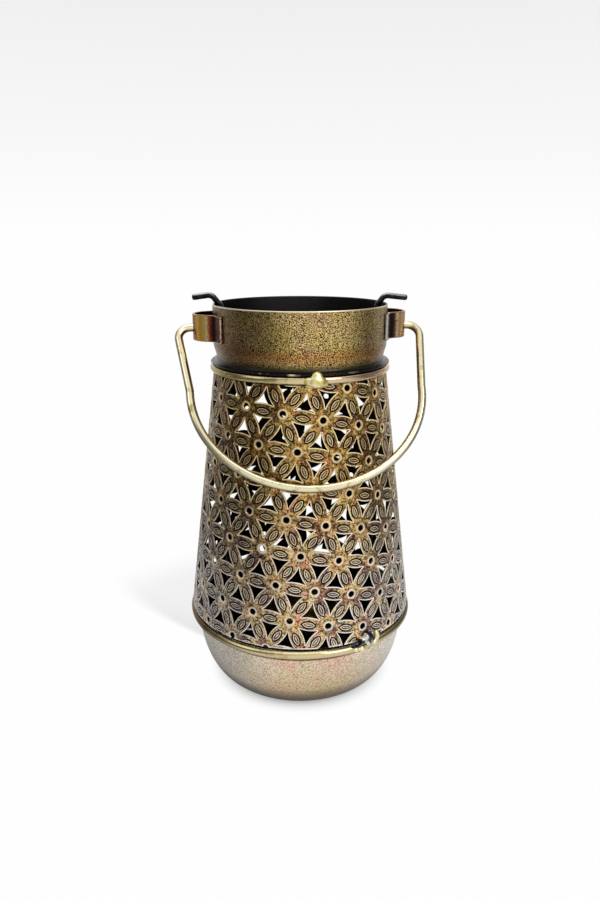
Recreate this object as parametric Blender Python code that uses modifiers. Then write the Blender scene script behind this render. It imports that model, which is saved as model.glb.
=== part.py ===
"""Hanging tea light holder: a spun bowl, a rolled and pierced flower sheet and a collar,
joined by two wire rings. A wire bail swings in two strip ears, and a wire hanger with a
tea light cup hooks over the rim and lifts out. Metres, +Z up, base of the bowl at z = 0."""

import math

import bmesh
import bpy
from mathutils import Matrix, Vector

MM = 0.001

# Stock the pieces are made from
HEAVY_WIRE = 4.0 * MM        # diameter of both rings and of the bail
LIGHT_WIRE = 3.0 * MM        # diameter of the hanger wire
SHEET = 1.0 * MM             # collar and pierced sheet
BOWL_SHEET = 1.2 * MM
EAR_SHEET = 1.2 * MM
CUP_SHEET = 0.8 * MM
SEAT_GAP = 0.3 * MM          # left between pieces that are brazed or rest on each other

# Heights, from the surface the bowl stands on upwards
CUP_FLOOR_HEIGHT = 22.0 * MM
LOWER_RING_HEIGHT = 39.3 * MM
CONE_HEIGHT = 128.7 * MM             # pierced sheet, from its lower to its upper edge
COLLAR_HEIGHT = 29.1 * MM            # underside of the flange to the rim
PIVOT_DROP = 11.7 * MM               # rim to the bail's pivot

# Bowl
BOWL_RADIUS = 58.35 * MM
BOWL_BASE_RADIUS = 36.0 * MM
BOWL_RIM_STRAIGHT = 3.0 * MM
BOWL_RIM_ABOVE_RING = 1.0 * MM

# Collar, with a waist and a flange that stands on the upper ring
RIM_RADIUS = 44.0 * MM
WAIST_DEPTH = 1.4 * MM               # waist inside the neck
FLANGE_LIP = 1.6 * MM                # flange outside the ring's centreline
COLLAR_STRAIGHT = 19.0 * MM

# Flower lattice of the pierced sheet, laid out on the flat sheet before rolling
FLOWER_PITCH = 19.1 * MM
FLOWER_ROW_ANGLE = math.radians(-10.0)
FLOWER_RISE = 47.9 * MM              # lower edge to one flower centre, which places all the others
FLOWER_AZIMUTH = math.radians(-6.2)  # its angle from the front, positive towards +X
FLOWER_HOLE = 2.8 * MM               # diameter of the hole in each flower
CUSP_SHARE = 0.30                    # flower centre to the point of a gap, in pitches
PETAL_SHARE = 0.18                   # half the width of a petal at its middle, in pitches
SHEET_EDGE_INSET = 0.35 * MM         # middle of the sheet, inside the lower ring's centreline
SEAM_GAP = 0.3 * MM
SHORT_EDGE = 0.3 * MM                # shorter cut edges are merged

# Ears
EAR_STAND = 10.0 * MM                # outer face of the loop, from the neck
EAR_HEIGHT = 13.6 * MM
EAR_FOOT_ANGLE = math.radians(14.5)  # where the loop leaves the collar
EAR_TAB_ANGLE = math.radians(25.0)   # where the tab ends
EAR_BEND = 1.6 * MM

# Bail
BAIL_DROP = 88.0 * MM                # pivot to the middle of the grip
BAIL_OVERHANG = 8.5 * MM             # ear to the middle of the wire at the shoulder
BAIL_TAPER = 5.0 * MM                # shoulder to the start of the round grip, inwards
BAIL_STRAIGHT = 35.0 * MM
BAIL_BEND = 6.0 * MM
BAIL_HOLE_PLAY = 0.3 * MM
BAIL_HEAD_SCALE = 1.6                # peened head against the wire
BAIL_HEAD_LENGTH = 1.2 * MM
BAIL_HEAD_PLAY = 0.7 * MM

# Hanger and cup
HOOK_LEAN = math.radians(52.0)
HOOK_RISE = 4.5 * MM                 # top of the hook's centreline above the rim
HOOK_OVERHANG = 9.8 * MM             # tip of the hook, from the neck
HOOK_DROOP = 1.3 * MM
HOOK_FOOT_BEND = 6.0 * MM
HOOK_TOP_BEND = 3.5 * MM
LEG_PLAY = 0.6 * MM
STIRRUP_BEND = 12.0 * MM
CUP_INSIDE_RADIUS = 20.5 * MM        # takes a 38 to 40 mm tea light
CUP_DEPTH = 14.0 * MM

# Braze lumps that show on the rings: half width along the ring, half depth and half height
UPPER_LUMP_AZIMUTH = math.radians(3.5)
UPPER_LUMP_HALF_WIDTH = 4.4 * MM
UPPER_LUMP_HALF_HEIGHT = 3.8 * MM
LOWER_LUMP_AZIMUTH = math.radians(27.5)
LOWER_LUMP_HALF_WIDTH = 5.0 * MM
LOWER_LUMP_HALF_HEIGHT = 3.4 * MM
LUMP_HALF_DEPTH = 1.6 * MM
LUMP_SINK = 0.4 * MM                 # how far a lump reaches into the wire of its ring

ROUND_STEPS = 48

# Sizes that follow from the ones above
HEAVY = HEAVY_WIRE / 2
LIGHT = LIGHT_WIRE / 2
UPPER_RING_RADIUS = RIM_RADIUS
LOWER_RING_RADIUS = BOWL_RADIUS + SEAT_GAP + HEAVY
CONE_BOTTOM = LOWER_RING_HEIGHT + HEAVY + SEAT_GAP
CONE_TOP = CONE_BOTTOM + CONE_HEIGHT
UPPER_RING_HEIGHT = CONE_TOP + SEAT_GAP + HEAVY
FLANGE_LOW = UPPER_RING_HEIGHT + HEAVY + SEAT_GAP
RIM_HEIGHT = FLANGE_LOW + COLLAR_HEIGHT
PIVOT_HEIGHT = RIM_HEIGHT - PIVOT_DROP
FLOWER_HEIGHT = CONE_BOTTOM + FLOWER_RISE
WAIST_RADIUS = RIM_RADIUS - WAIST_DEPTH
FLANGE_RADIUS = UPPER_RING_RADIUS + FLANGE_LIP
EAR_REACH = RIM_RADIUS + EAR_STAND
BAIL_SHOULDER = EAR_REACH + BAIL_OVERHANG
BAIL_WAIST = BAIL_SHOULDER - BAIL_TAPER
HOOK_REACH = RIM_RADIUS + HOOK_OVERHANG
CONE_TOP_RADIUS = UPPER_RING_RADIUS
CONE_BOTTOM_RADIUS = LOWER_RING_RADIUS - SHEET_EDGE_INSET
CONE_ANGLE = math.atan((CONE_BOTTOM_RADIUS - CONE_TOP_RADIUS) / (CONE_TOP - CONE_BOTTOM))
CONE_APEX = CONE_TOP + CONE_TOP_RADIUS / math.tan(CONE_ANGLE)
LEG_RADIUS = WAIST_RADIUS - SHEET - LEG_PLAY - LIGHT


def make_collection(name):
    collection = bpy.data.collections.new(name)
    bpy.context.scene.collection.children.link(collection)
    return collection


def make_material(name, colour, roughness):
    material = bpy.data.materials.new(name)
    material.use_nodes = True
    shader = material.node_tree.nodes["Principled BSDF"]
    shader.inputs["Base Color"].default_value = (*colour, 1.0)
    shader.inputs["Metallic"].default_value = 1.0
    shader.inputs["Roughness"].default_value = roughness
    return material


def add_object(name, data, collection, material=None):
    obj = bpy.data.objects.new(name, data)
    collection.objects.link(obj)
    if material is not None:
        data.materials.append(material)
    return obj


def mesh_from_bmesh(name, bm):
    mesh = bpy.data.meshes.new(name)
    bm.to_mesh(mesh)
    bm.free()
    return mesh


def turned_piece(name, profile, closed, collection, material):
    """A piece turned about Z from a profile of (radius, height) points."""
    bm = bmesh.new()
    points = [bm.verts.new((radius, 0.0, height)) for radius, height in profile]
    for first, second in zip(points, points[1:]):
        bm.edges.new((first, second))
    if closed:
        bm.edges.new((points[-1], points[0]))
    obj = add_object(name, mesh_from_bmesh(name, bm), collection, material)
    screw = obj.modifiers.new("turn", "SCREW")
    screw.axis = "Z"
    screw.angle = math.tau
    screw.steps = ROUND_STEPS
    screw.render_steps = ROUND_STEPS
    screw.use_merge_vertices = True
    screw.merge_threshold = 0.0001
    return obj


def quarter_ellipse(centre, half_width, half_height, steps):
    """(radius, height) points from the widest point down to the lowest one."""
    points = []
    for step in range(steps + 1):
        angle = 0.5 * math.pi * step / steps
        points.append((centre[0] + half_width * math.cos(angle), centre[1] - half_height * math.sin(angle)))
    return points


def rounded_path(corners, bends, steps=4):
    """A polyline whose corners are rounded with the given bend radii (0 keeps a corner)."""
    path = [Vector(corners[0])]
    for index in range(1, len(corners) - 1):
        corner = Vector(corners[index])
        to_last = (Vector(corners[index - 1]) - corner).normalized()
        to_next = (Vector(corners[index + 1]) - corner).normalized()
        bend = bends[index - 1]
        half = to_last.angle(to_next) / 2
        if bend == 0:
            path.append(corner)
            continue
        tangent = bend / math.tan(half)
        centre = corner + (to_last + to_next).normalized() * (bend / math.sin(half))
        start = corner + to_last * tangent - centre
        end = corner + to_next * tangent - centre
        for step in range(steps + 1):
            path.append(centre + start.slerp(end, step / steps).normalized() * bend)
    path.append(Vector(corners[-1]))
    return path


def wire_piece(name, path, radii, wire_radius, collection, material):
    """A round wire bent along a path, with closed ends."""
    curve = bpy.data.curves.new(name, "CURVE")
    curve.dimensions = "3D"
    curve.bevel_depth = wire_radius
    curve.bevel_resolution = 2
    curve.use_fill_caps = True
    spline = curve.splines.new("POLY")
    spline.points.add(len(path) - 1)
    for point, place, radius in zip(spline.points, path, radii):
        point.co = (*place, 1.0)
        point.radius = radius
    return add_object(name, curve, collection, material)


def around(radius, azimuth, height):
    """A point at an angle from the front (-Y), positive towards +X."""
    return Vector((radius * math.sin(azimuth), -radius * math.cos(azimuth), height))


def wire_ring(name, radius, height, lump_azimuth, lump_width, lump_height, collection, cutters, material):
    """A closed wire hoop with the braze lump that closes it."""
    bpy.ops.mesh.primitive_torus_add(
        major_segments=ROUND_STEPS,
        minor_segments=8,
        major_radius=radius,
        minor_radius=HEAVY,
        location=(0.0, 0.0, 0.0),
    )
    ring = bpy.context.object
    ring.name = name
    ring.data.name = name
    ring.data.transform(Matrix.Translation((0.0, 0.0, height)))
    ring.data.materials.append(material)
    for holder in list(ring.users_collection):
        holder.objects.unlink(ring)
    collection.objects.link(ring)
    bm = bmesh.new()
    bmesh.ops.create_icosphere(bm, subdivisions=2, radius=1.0)
    bmesh.ops.scale(bm, verts=list(bm.verts), vec=(lump_width, LUMP_HALF_DEPTH, lump_height))
    turn = Matrix.Rotation(lump_azimuth, 3, "Z")
    bmesh.ops.rotate(bm, verts=list(bm.verts), cent=(0.0, 0.0, 0.0), matrix=turn)
    place = around(radius + HEAVY + LUMP_HALF_DEPTH - LUMP_SINK, lump_azimuth, height)
    bmesh.ops.translate(bm, verts=list(bm.verts), vec=place)
    lump = add_object(name + "_lump", mesh_from_bmesh(name + "_lump", bm), cutters)
    lump.hide_render = True
    lump.display_type = "WIRE"
    union = ring.modifiers.new("braze", "BOOLEAN")
    union.operation = "UNION"
    union.solver = "EXACT"
    union.object = lump
    return ring


def flower_cell():
    """One flat flower: a round hole, a solid middle and six half petals."""
    bm = bmesh.new()
    bmesh.ops.create_circle(bm, cap_ends=False, radius=FLOWER_HOLE / 2, segments=6)
    grown = bmesh.ops.extrude_edge_only(bm, edges=list(bm.edges))["geom"]
    cusps = [item for item in grown if isinstance(item, bmesh.types.BMVert)]
    for vert in cusps:
        vert.co *= CUSP_SHARE * FLOWER_PITCH / vert.co.length
    new_edges = [item for item in grown if isinstance(item, bmesh.types.BMEdge)]
    sides = [edge for edge in new_edges if set(edge.verts) <= set(cusps)]
    for side in sides:
        out = (side.verts[0].co + side.verts[1].co).normalized()
        across = Vector((-out.y, out.x, 0.0))
        for item in bmesh.ops.extrude_edge_only(bm, edges=[side])["geom"]:
            if isinstance(item, bmesh.types.BMVert):
                turn = 1.0 if item.co.dot(across) > 0 else -1.0
                item.co = out * FLOWER_PITCH / 2 + across * turn * PETAL_SHARE * FLOWER_PITCH
    # a petal of the cell points along +X once the cell is turned to its row
    first = max(sides, key=lambda side: (side.verts[0].co + side.verts[1].co).x)
    middle = first.verts[0].co + first.verts[1].co
    turn = FLOWER_ROW_ANGLE - math.atan2(middle.y, middle.x)
    bmesh.ops.rotate(bm, verts=list(bm.verts), cent=(0.0, 0.0, 0.0), matrix=Matrix.Rotation(turn, 3, "Z"))
    return mesh_from_bmesh("flower_cell", bm)


def rolled(place):
    """Rolls a point of the flat sheet, measured from the cone's apex, on to the cone."""
    slant = math.hypot(place.x, place.y)
    azimuth = math.atan2(place.x, -place.y) / math.sin(CONE_ANGLE)
    return around(slant * math.sin(CONE_ANGLE), azimuth, CONE_APEX - slant * math.cos(CONE_ANGLE))


def trim(bm, place, normal):
    """Cuts the sheet with a plane and drops the side that the normal points to."""
    everything = list(bm.verts) + list(bm.edges) + list(bm.faces)
    bmesh.ops.bisect_plane(
        bm,
        geom=everything,
        dist=0.001 * MM,
        plane_co=place,
        plane_no=normal,
        clear_outer=True,
    )


def keep_largest_island(bm):
    left = set(bm.faces)
    islands = []
    while left:
        stack = [left.pop()]
        island = []
        while stack:
            face = stack.pop()
            island.append(face)
            for edge in face.edges:
                for other in edge.link_faces:
                    if other in left:
                        left.remove(other)
                        stack.append(other)
        islands.append(island)
    islands.sort(key=len)
    for island in islands[:-1]:
        bmesh.ops.delete(bm, geom=island, context="FACES")


def pierced_sheet(name, collection, material):
    """The flower sheet: laid out flat, cut to its two seam edges, rolled, and cut level."""
    cell = flower_cell()
    slant = (CONE_APEX - FLOWER_HEIGHT) / math.cos(CONE_ANGLE)
    flat_angle = FLOWER_AZIMUTH * math.sin(CONE_ANGLE)
    anchor = Vector((slant * math.sin(flat_angle), -slant * math.cos(flat_angle), 0.0))
    half_sector = math.pi * math.sin(CONE_ANGLE)
    nearest = (CONE_APEX - CONE_TOP) / math.cos(CONE_ANGLE) - FLOWER_PITCH
    farthest = (CONE_APEX - CONE_BOTTOM) / math.cos(CONE_ANGLE) + FLOWER_PITCH
    along = Matrix.Rotation(FLOWER_ROW_ANGLE, 3, "Z") @ Vector((FLOWER_PITCH, 0.0, 0.0))
    across = Matrix.Rotation(math.pi / 3, 3, "Z") @ along
    bm = bmesh.new()
    reach = int(farthest / FLOWER_PITCH)
    for row in range(-reach, reach + 1):
        for column in range(-reach, reach + 1):
            place = anchor + along * column + across * row
            distance = place.length
            angle = abs(math.atan2(place.x, -place.y))
            if nearest < distance < farthest and angle < half_sector + FLOWER_PITCH / distance:
                old = len(bm.verts)
                bm.from_mesh(cell)
                bm.verts.ensure_lookup_table()
                bmesh.ops.translate(bm, verts=bm.verts[old:], vec=place)
    bpy.data.meshes.remove(cell)
    bmesh.ops.remove_doubles(bm, verts=list(bm.verts), dist=0.01 * MM)
    for side in (-1.0, 1.0):
        normal = Vector((side * math.cos(half_sector), math.sin(half_sector), 0.0))
        trim(bm, -normal * SEAM_GAP / 2, normal)
    for vert in bm.verts:
        vert.co = rolled(vert.co)
    trim(bm, Vector((0.0, 0.0, CONE_TOP)), Vector((0.0, 0.0, 1.0)))
    trim(bm, Vector((0.0, 0.0, CONE_BOTTOM)), Vector((0.0, 0.0, -1.0)))
    bmesh.ops.dissolve_degenerate(bm, edges=list(bm.edges), dist=SHORT_EDGE)
    keep_largest_island(bm)
    loose = [vert for vert in bm.verts if not vert.link_faces]
    bmesh.ops.delete(bm, geom=loose, context="VERTS")
    bmesh.ops.recalc_face_normals(bm, faces=list(bm.faces))
    obj = add_object(name, mesh_from_bmesh(name, bm), collection, material)
    thick = obj.modifiers.new("sheet", "SOLIDIFY")
    thick.thickness = SHEET
    thick.offset = 0.0
    thick.use_even_offset = True
    thick.use_rim = True
    return obj


def ear(name, side, collection, cutters, material):
    """A strip bent into a loop, with a tab on the collar at each end and a hole for the bail."""
    tab_radius = RIM_RADIUS + SEAT_GAP + EAR_SHEET / 2
    foot = (tab_radius * math.cos(EAR_FOOT_ANGLE), tab_radius * math.sin(EAR_FOOT_ANGLE))
    bulge = EAR_REACH - EAR_SHEET / 2 - foot[0]
    corners = []
    bends = []
    for step in range(4):
        angle = EAR_TAB_ANGLE + (EAR_FOOT_ANGLE - EAR_TAB_ANGLE) * step / 3
        corners.append((tab_radius * math.cos(angle), tab_radius * math.sin(angle), 0.0))
        bends.append(EAR_BEND if step == 3 else 0.0)
    for step in range(3, 10):
        angle = 0.5 * math.pi * step / 9
        corners.append((foot[0] + bulge * math.sin(angle), foot[1] * math.cos(angle), 0.0))
        bends.append(0.0)
    half = rounded_path(corners, bends[1:])
    path = half + [Vector((point.x, -point.y, 0.0)) for point in reversed(half[:-1])]
    bm = bmesh.new()
    low = PIVOT_HEIGHT - EAR_HEIGHT / 2
    points = [bm.verts.new((side * point.x, point.y, low)) for point in path]
    for first, second in zip(points, points[1:]):
        bm.edges.new((first, second))
    raised = bmesh.ops.extrude_edge_only(bm, edges=list(bm.edges))["geom"]
    tops = [item for item in raised if isinstance(item, bmesh.types.BMVert)]
    bmesh.ops.translate(bm, verts=tops, vec=(0.0, 0.0, EAR_HEIGHT))
    bmesh.ops.recalc_face_normals(bm, faces=list(bm.faces))
    obj = add_object(name, mesh_from_bmesh(name, bm), collection, material)
    thick = obj.modifiers.new("strip", "SOLIDIFY")
    thick.thickness = EAR_SHEET
    thick.offset = 0.0
    thick.use_even_offset = True
    drill_bm = bmesh.new()
    place = Matrix.Translation((side * EAR_REACH, 0.0, PIVOT_HEIGHT)) @ Matrix.Rotation(math.pi / 2, 4, "Y")
    bmesh.ops.create_cone(
        drill_bm,
        cap_ends=True,
        segments=16,
        radius1=HEAVY + BAIL_HOLE_PLAY,
        radius2=HEAVY + BAIL_HOLE_PLAY,
        depth=6 * EAR_SHEET,
        matrix=place,
    )
    drill = add_object(name + "_drill", mesh_from_bmesh(name + "_drill", drill_bm), cutters)
    drill.hide_render = True
    drill.display_type = "WIRE"
    cut = obj.modifiers.new("bail_hole", "BOOLEAN")
    cut.operation = "DIFFERENCE"
    cut.solver = "EXACT"
    cut.object = drill
    return obj


def bail_tilt():
    """Angle from straight down at which the hanging bail rests on the front of the sheet."""
    low, high = math.radians(20.0), math.radians(60.0)
    for _ in range(50):
        tilt = (low + high) / 2
        height = PIVOT_HEIGHT - BAIL_DROP * math.cos(tilt)
        middle = (CONE_APEX - height) * math.tan(CONE_ANGLE)
        free = (BAIL_DROP * math.sin(tilt) - middle) * math.cos(CONE_ANGLE) - SHEET / 2 - HEAVY
        if free < SEAT_GAP:
            low = tilt
        else:
            high = tilt
    return high


def bail(name, collection, material):
    """One wire: peened heads inside the ears, two limbs and a round grip."""
    head_outside = EAR_REACH - EAR_SHEET - BAIL_HEAD_PLAY
    grip_height = BAIL_DROP - BAIL_STRAIGHT
    corners = [(head_outside, 0.0, 0.0), (BAIL_SHOULDER, 0.0, 0.0), (BAIL_WAIST, BAIL_STRAIGHT, 0.0)]
    half = rounded_path(corners, [BAIL_BEND], steps=6)
    for step in range(1, 13):
        angle = 0.5 * math.pi * step / 12
        drop = BAIL_STRAIGHT + grip_height * math.sin(angle)
        half.append(Vector((BAIL_WAIST * math.cos(angle), drop, 0.0)))
    head = [Vector((head_outside - BAIL_HEAD_LENGTH, 0.0, 0.0)), Vector((head_outside, 0.0, 0.0))]
    half = head + [Vector((head_outside + 0.1 * MM, 0.0, 0.0))] + half[1:]
    radii = [BAIL_HEAD_SCALE, BAIL_HEAD_SCALE] + [1.0] * (len(half) - 2)
    mirrored = [Vector((-point.x, point.y, 0.0)) for point in reversed(half[:-1])]
    flat = half + mirrored
    radii = radii + list(reversed(radii[:-1]))
    tilt = bail_tilt()
    path = [Vector((point.x, -point.y * math.sin(tilt), -point.y * math.cos(tilt))) for point in flat]
    obj = wire_piece(name, path, radii, HEAVY, collection, material)
    obj.location = (0.0, 0.0, PIVOT_HEIGHT)
    return obj


def hanger(name, collection, material):
    """One iron wire: a hook over the rim on each side and a stirrup that carries the cup."""
    corner = Vector((RIM_RADIUS - SHEET, 0.0, RIM_HEIGHT))
    lean = Vector((math.cos(HOOK_LEAN), 0.0, math.sin(HOOK_LEAN)))
    off = Vector((-math.sin(HOOK_LEAN), 0.0, math.cos(HOOK_LEAN))) * (LIGHT + SEAT_GAP)
    on_line = corner + off
    knee = on_line + lean * ((LEG_RADIUS - on_line.x) / lean.x)
    top = on_line + lean * ((RIM_HEIGHT + HOOK_RISE - on_line.z) / lean.z)
    tip = Vector((HOOK_REACH, 0.0, RIM_HEIGHT + HOOK_RISE - HOOK_DROOP))
    under_cup = CUP_FLOOR_HEIGHT - CUP_SHEET - SEAT_GAP - LIGHT
    corners = [tip, top, knee, Vector((LEG_RADIUS, 0.0, under_cup)), Vector((0.0, 0.0, under_cup))]
    half = rounded_path(corners, [HOOK_TOP_BEND, HOOK_FOOT_BEND, STIRRUP_BEND], steps=6)
    path = half + [Vector((-point.x, 0.0, point.z)) for point in reversed(half[:-1])]
    return wire_piece(name, path, [1.0] * len(path), LIGHT, collection, material)


def build():
    for obj in list(bpy.data.objects):
        bpy.data.objects.remove(obj, do_unlink=True)
    parts = make_collection("hanging_tea_light_holder")
    cutters = make_collection("cutters")
    bowl_metal = make_material("bowl_bronze", (0.62, 0.48, 0.36), 0.35)
    ring_metal = make_material("ring_brass", (0.72, 0.58, 0.28), 0.25)
    sheet_metal = make_material("sheet_bronze", (0.42, 0.29, 0.14), 0.35)
    collar_metal = make_material("collar_brass", (0.38, 0.26, 0.11), 0.35)
    ear_metal = make_material("ear_copper", (0.48, 0.26, 0.12), 0.3)
    bail_metal = make_material("bail_brass", (0.86, 0.78, 0.52), 0.15)
    iron = make_material("hanger_iron", (0.06, 0.06, 0.065), 0.3)
    cup_metal = make_material("cup_brass", (0.40, 0.28, 0.13), 0.35)

    # bowl, from the middle of its floor up the inside and down the outside
    straight_low = LOWER_RING_HEIGHT + BOWL_RIM_ABOVE_RING - BOWL_RIM_STRAIGHT
    bowl_top = LOWER_RING_HEIGHT + BOWL_RIM_ABOVE_RING
    bulge = BOWL_RADIUS - BOWL_BASE_RADIUS
    centre = (BOWL_BASE_RADIUS, straight_low)
    outside = quarter_ellipse(centre, bulge, straight_low, 7)
    inside = quarter_ellipse(centre, bulge - BOWL_SHEET, straight_low - BOWL_SHEET, 7)
    profile = [(0.0, BOWL_SHEET)] + list(reversed(inside))
    profile += [(BOWL_RADIUS - BOWL_SHEET, bowl_top), (BOWL_RADIUS, bowl_top)] + outside + [(0.0, 0.0)]
    turned_piece("base_bowl", profile, False, parts, bowl_metal)

    wire_ring("upper_ring", UPPER_RING_RADIUS, UPPER_RING_HEIGHT, UPPER_LUMP_AZIMUTH,
              UPPER_LUMP_HALF_WIDTH, UPPER_LUMP_HALF_HEIGHT, parts, cutters, ring_metal)
    wire_ring("lower_ring", LOWER_RING_RADIUS, LOWER_RING_HEIGHT, LOWER_LUMP_AZIMUTH,
              LOWER_LUMP_HALF_WIDTH, LOWER_LUMP_HALF_HEIGHT, parts, cutters, ring_metal)
    pierced_sheet("pierced_body", parts, sheet_metal)

    # collar, down the outside, round the flange and up the inside
    flange_high = FLANGE_LOW + SHEET
    waist = flange_high + 2.0 * MM
    neck_low = RIM_HEIGHT - COLLAR_STRAIGHT
    cove = 1.6 * MM
    profile = [
        (RIM_RADIUS, RIM_HEIGHT),
        (RIM_RADIUS, neck_low),
        (0.4 * RIM_RADIUS + 0.6 * WAIST_RADIUS, waist + 2.2 * MM),
        (WAIST_RADIUS, waist),
        (WAIST_RADIUS + 0.3 * cove, flange_high + 0.3 * cove),
        (WAIST_RADIUS + cove, flange_high),
        (FLANGE_RADIUS - 0.3 * SHEET, flange_high),
        (FLANGE_RADIUS, FLANGE_LOW + 0.5 * SHEET),
        (FLANGE_RADIUS - 0.3 * SHEET, FLANGE_LOW),
        (WAIST_RADIUS + 0.4 * cove, FLANGE_LOW),
        (WAIST_RADIUS - SHEET, FLANGE_LOW + cove),
        (WAIST_RADIUS - SHEET, waist),
        (0.4 * RIM_RADIUS + 0.6 * WAIST_RADIUS - SHEET, waist + 2.2 * MM),
        (RIM_RADIUS - SHEET, neck_low),
        (RIM_RADIUS - SHEET, RIM_HEIGHT),
    ]
    turned_piece("collar", profile, True, parts, collar_metal)

    ear("ear_left", -1.0, parts, cutters, ear_metal)
    ear("ear_right", 1.0, parts, cutters, ear_metal)
    bail("bail_handle", parts, bail_metal)
    hanger("hanger_wire", parts, iron)

    # tea light cup
    cup_radius = CUP_INSIDE_RADIUS + CUP_SHEET
    cup_bottom = CUP_FLOOR_HEIGHT - CUP_SHEET
    cup_top = CUP_FLOOR_HEIGHT + CUP_DEPTH
    profile = [
        (0.0, CUP_FLOOR_HEIGHT),
        (CUP_INSIDE_RADIUS, CUP_FLOOR_HEIGHT),
        (CUP_INSIDE_RADIUS, cup_top),
        (cup_radius, cup_top),
        (cup_radius, cup_bottom + CUP_SHEET),
        (cup_radius - CUP_SHEET, cup_bottom),
        (0.0, cup_bottom),
    ]
    turned_piece("tea_light_cup", profile, False, parts, cup_metal)


build()
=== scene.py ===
import math

import bpy
from mathutils import Matrix, Vector, noise


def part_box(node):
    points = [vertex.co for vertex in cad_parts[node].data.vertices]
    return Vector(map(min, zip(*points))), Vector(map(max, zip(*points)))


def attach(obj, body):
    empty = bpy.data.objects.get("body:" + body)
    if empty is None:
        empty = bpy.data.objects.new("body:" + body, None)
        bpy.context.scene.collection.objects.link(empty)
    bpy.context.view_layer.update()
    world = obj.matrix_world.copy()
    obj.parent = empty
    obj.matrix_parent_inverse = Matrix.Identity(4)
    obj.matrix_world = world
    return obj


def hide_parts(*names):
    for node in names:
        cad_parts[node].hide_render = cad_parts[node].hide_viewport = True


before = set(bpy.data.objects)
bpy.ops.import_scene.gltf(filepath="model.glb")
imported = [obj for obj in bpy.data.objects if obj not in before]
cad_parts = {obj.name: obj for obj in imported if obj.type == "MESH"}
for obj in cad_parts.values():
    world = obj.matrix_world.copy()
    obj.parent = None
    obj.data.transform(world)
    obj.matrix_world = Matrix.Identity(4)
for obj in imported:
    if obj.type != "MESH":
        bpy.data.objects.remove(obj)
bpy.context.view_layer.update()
bpy.context.scene.view_settings.view_transform = "Standard"

# Bowl: the bottom of the lantern, spun from thin brass sheet over a round former with a flat
# base. Its rim stands inside the lower ring and is brazed there. The outside is champagne
# bronze under a lacquer that dried to a fine pebble; the inside is sooty and darkened with painted shade.
MM = 0.001
NEAR = 0.001 * MM
WHOLE = (0.0, 1.0)
LATHE_STEPS = 144
BOWL_STEPS = 28
BOWL_WALL = 1.2 * MM
BOWL_BASE_RADIUS = 38.0 * MM
BOWL_DRAWN_IN = 1.6 * MM
BOWL_RIM_STRAIGHT = 3.0 * MM
BOWL_PEBBLE = 0.7 * MM
BOWL_CLOUD = 14.0 * MM
# where colours come or go: heights, widths from the middle, and depths below the bowl's rim
FOOT_SHADE_HEIGHTS = (6.0 * MM, 15.0 * MM)
GILT_HEIGHTS = (15.0 * MM, 30.0 * MM)
BOWL_SHEEN_WIDTHS = (16.0 * MM, 46.0 * MM)
STAIN_AND_SHADE_DEPTHS = (6.5 * MM, 5.7 * MM)
BOWL_CHAMPAGNE = "fdebcc"
BOWL_ROSE = "fed6bc"
BOWL_STRAW = "f2e2b0"
BOWL_GILT = "f4deac"
BOWL_SPECK = "725940"
BOWL_SIDE_SHEEN = "f6f4ee"
BOWL_FOOT_SHADE = "553c18"
FLUX_STAIN_AND_SHADE = "3a2a17"
SOOT_AND_SHADE = "0c0908"
LACQUER_ROUGHNESS = 0.22


def paint(code):
    """Turns an sRGB hex colour into linear values with full alpha."""
    values = [int(code[place:place + 2], 16) / 255 for place in (0, 2, 4)]
    linear = [v / 12.92 if v <= 0.04045 else ((v + 0.055) / 1.055) ** 2.4 for v in values]
    return (*linear, 1.0)


def set_stops(ramp, stops):
    """Gives a colour ramp its stops: pairs of a place and a colour."""
    while len(ramp.elements) < len(stops):
        ramp.elements.new(0.5)
    for element, (position, code) in zip(ramp.elements, stops):
        element.position = position
        element.color = paint(code)


def link(material, node, sources):
    """Links sources to a node's inputs; a whole node stands for its first output."""
    for name, source in dict(sources).items():
        output = source.outputs[0] if hasattr(source, "outputs") else source
        material.node_tree.links.new(output, node.inputs[name])


def add_node(material, kind, settings=(), sources=()):
    """Adds a node with its settings and links. From and To take both ends of a range."""
    node = material.node_tree.nodes.new("ShaderNode" + kind)
    for name, value in dict(settings).items():
        if name == "stops":
            set_stops(node.color_ramp, value)
        elif name in ("From", "To"):
            for end, amount in zip(("Min", "Max"), value):
                node.inputs[f"{name} {end}"].default_value = amount
        elif isinstance(name, int) or name in node.inputs:
            node.inputs[name].default_value = value
        else:
            setattr(node, name, value)
    link(material, node, sources)
    return node


def start_metal(name, roughness, lacquer=0.0):
    """A new metal: the material, its shader and the place on the piece that its patterns read."""
    material = bpy.data.materials.new(name)
    material.use_nodes = True
    shader = material.node_tree.nodes["Principled BSDF"]
    shader.inputs["Metallic"].default_value = 1.0
    shader.inputs["Roughness"].default_value = roughness
    shader.inputs["Coat Weight"].default_value = lacquer
    shader.inputs["Coat Roughness"].default_value = LACQUER_ROUGHNESS
    place = add_node(material, "TexCoord").outputs["Object"]
    return material, shader, place


def patchwork(material, place, size, detail, stops):
    """Patches of a real size and the colours that they run through: the pattern, and its colour."""
    pattern = add_node(material, "TexNoise", {"Scale": 1 / size, "Detail": detail}, {"Vector": place})
    return pattern, add_node(material, "ValToRGB", {"stops": stops}, {"Fac": pattern})


def lay_over(material, base, layers):
    """Lays colours over a base, from the metal outwards.

    A layer has its colour, what decides where it lies, the range of that over which it comes or
    goes, the amounts at the two ends of the range, and masks, if any, that thin it further.
    """
    for colour, source, stretch, amounts, *masks in layers:
        amount = add_node(material, "MapRange", {"From": stretch, "To": amounts}, {"Value": source})
        for mask in masks:
            amount = add_node(material, "Math", {"operation": "MULTIPLY"}, {0: amount, 1: mask})
        mix = add_node(material, "Mix", {"data_type": "RGBA", 7: paint(colour)}, {0: amount, 6: base})
        base = mix.outputs[2]
    return base


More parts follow.
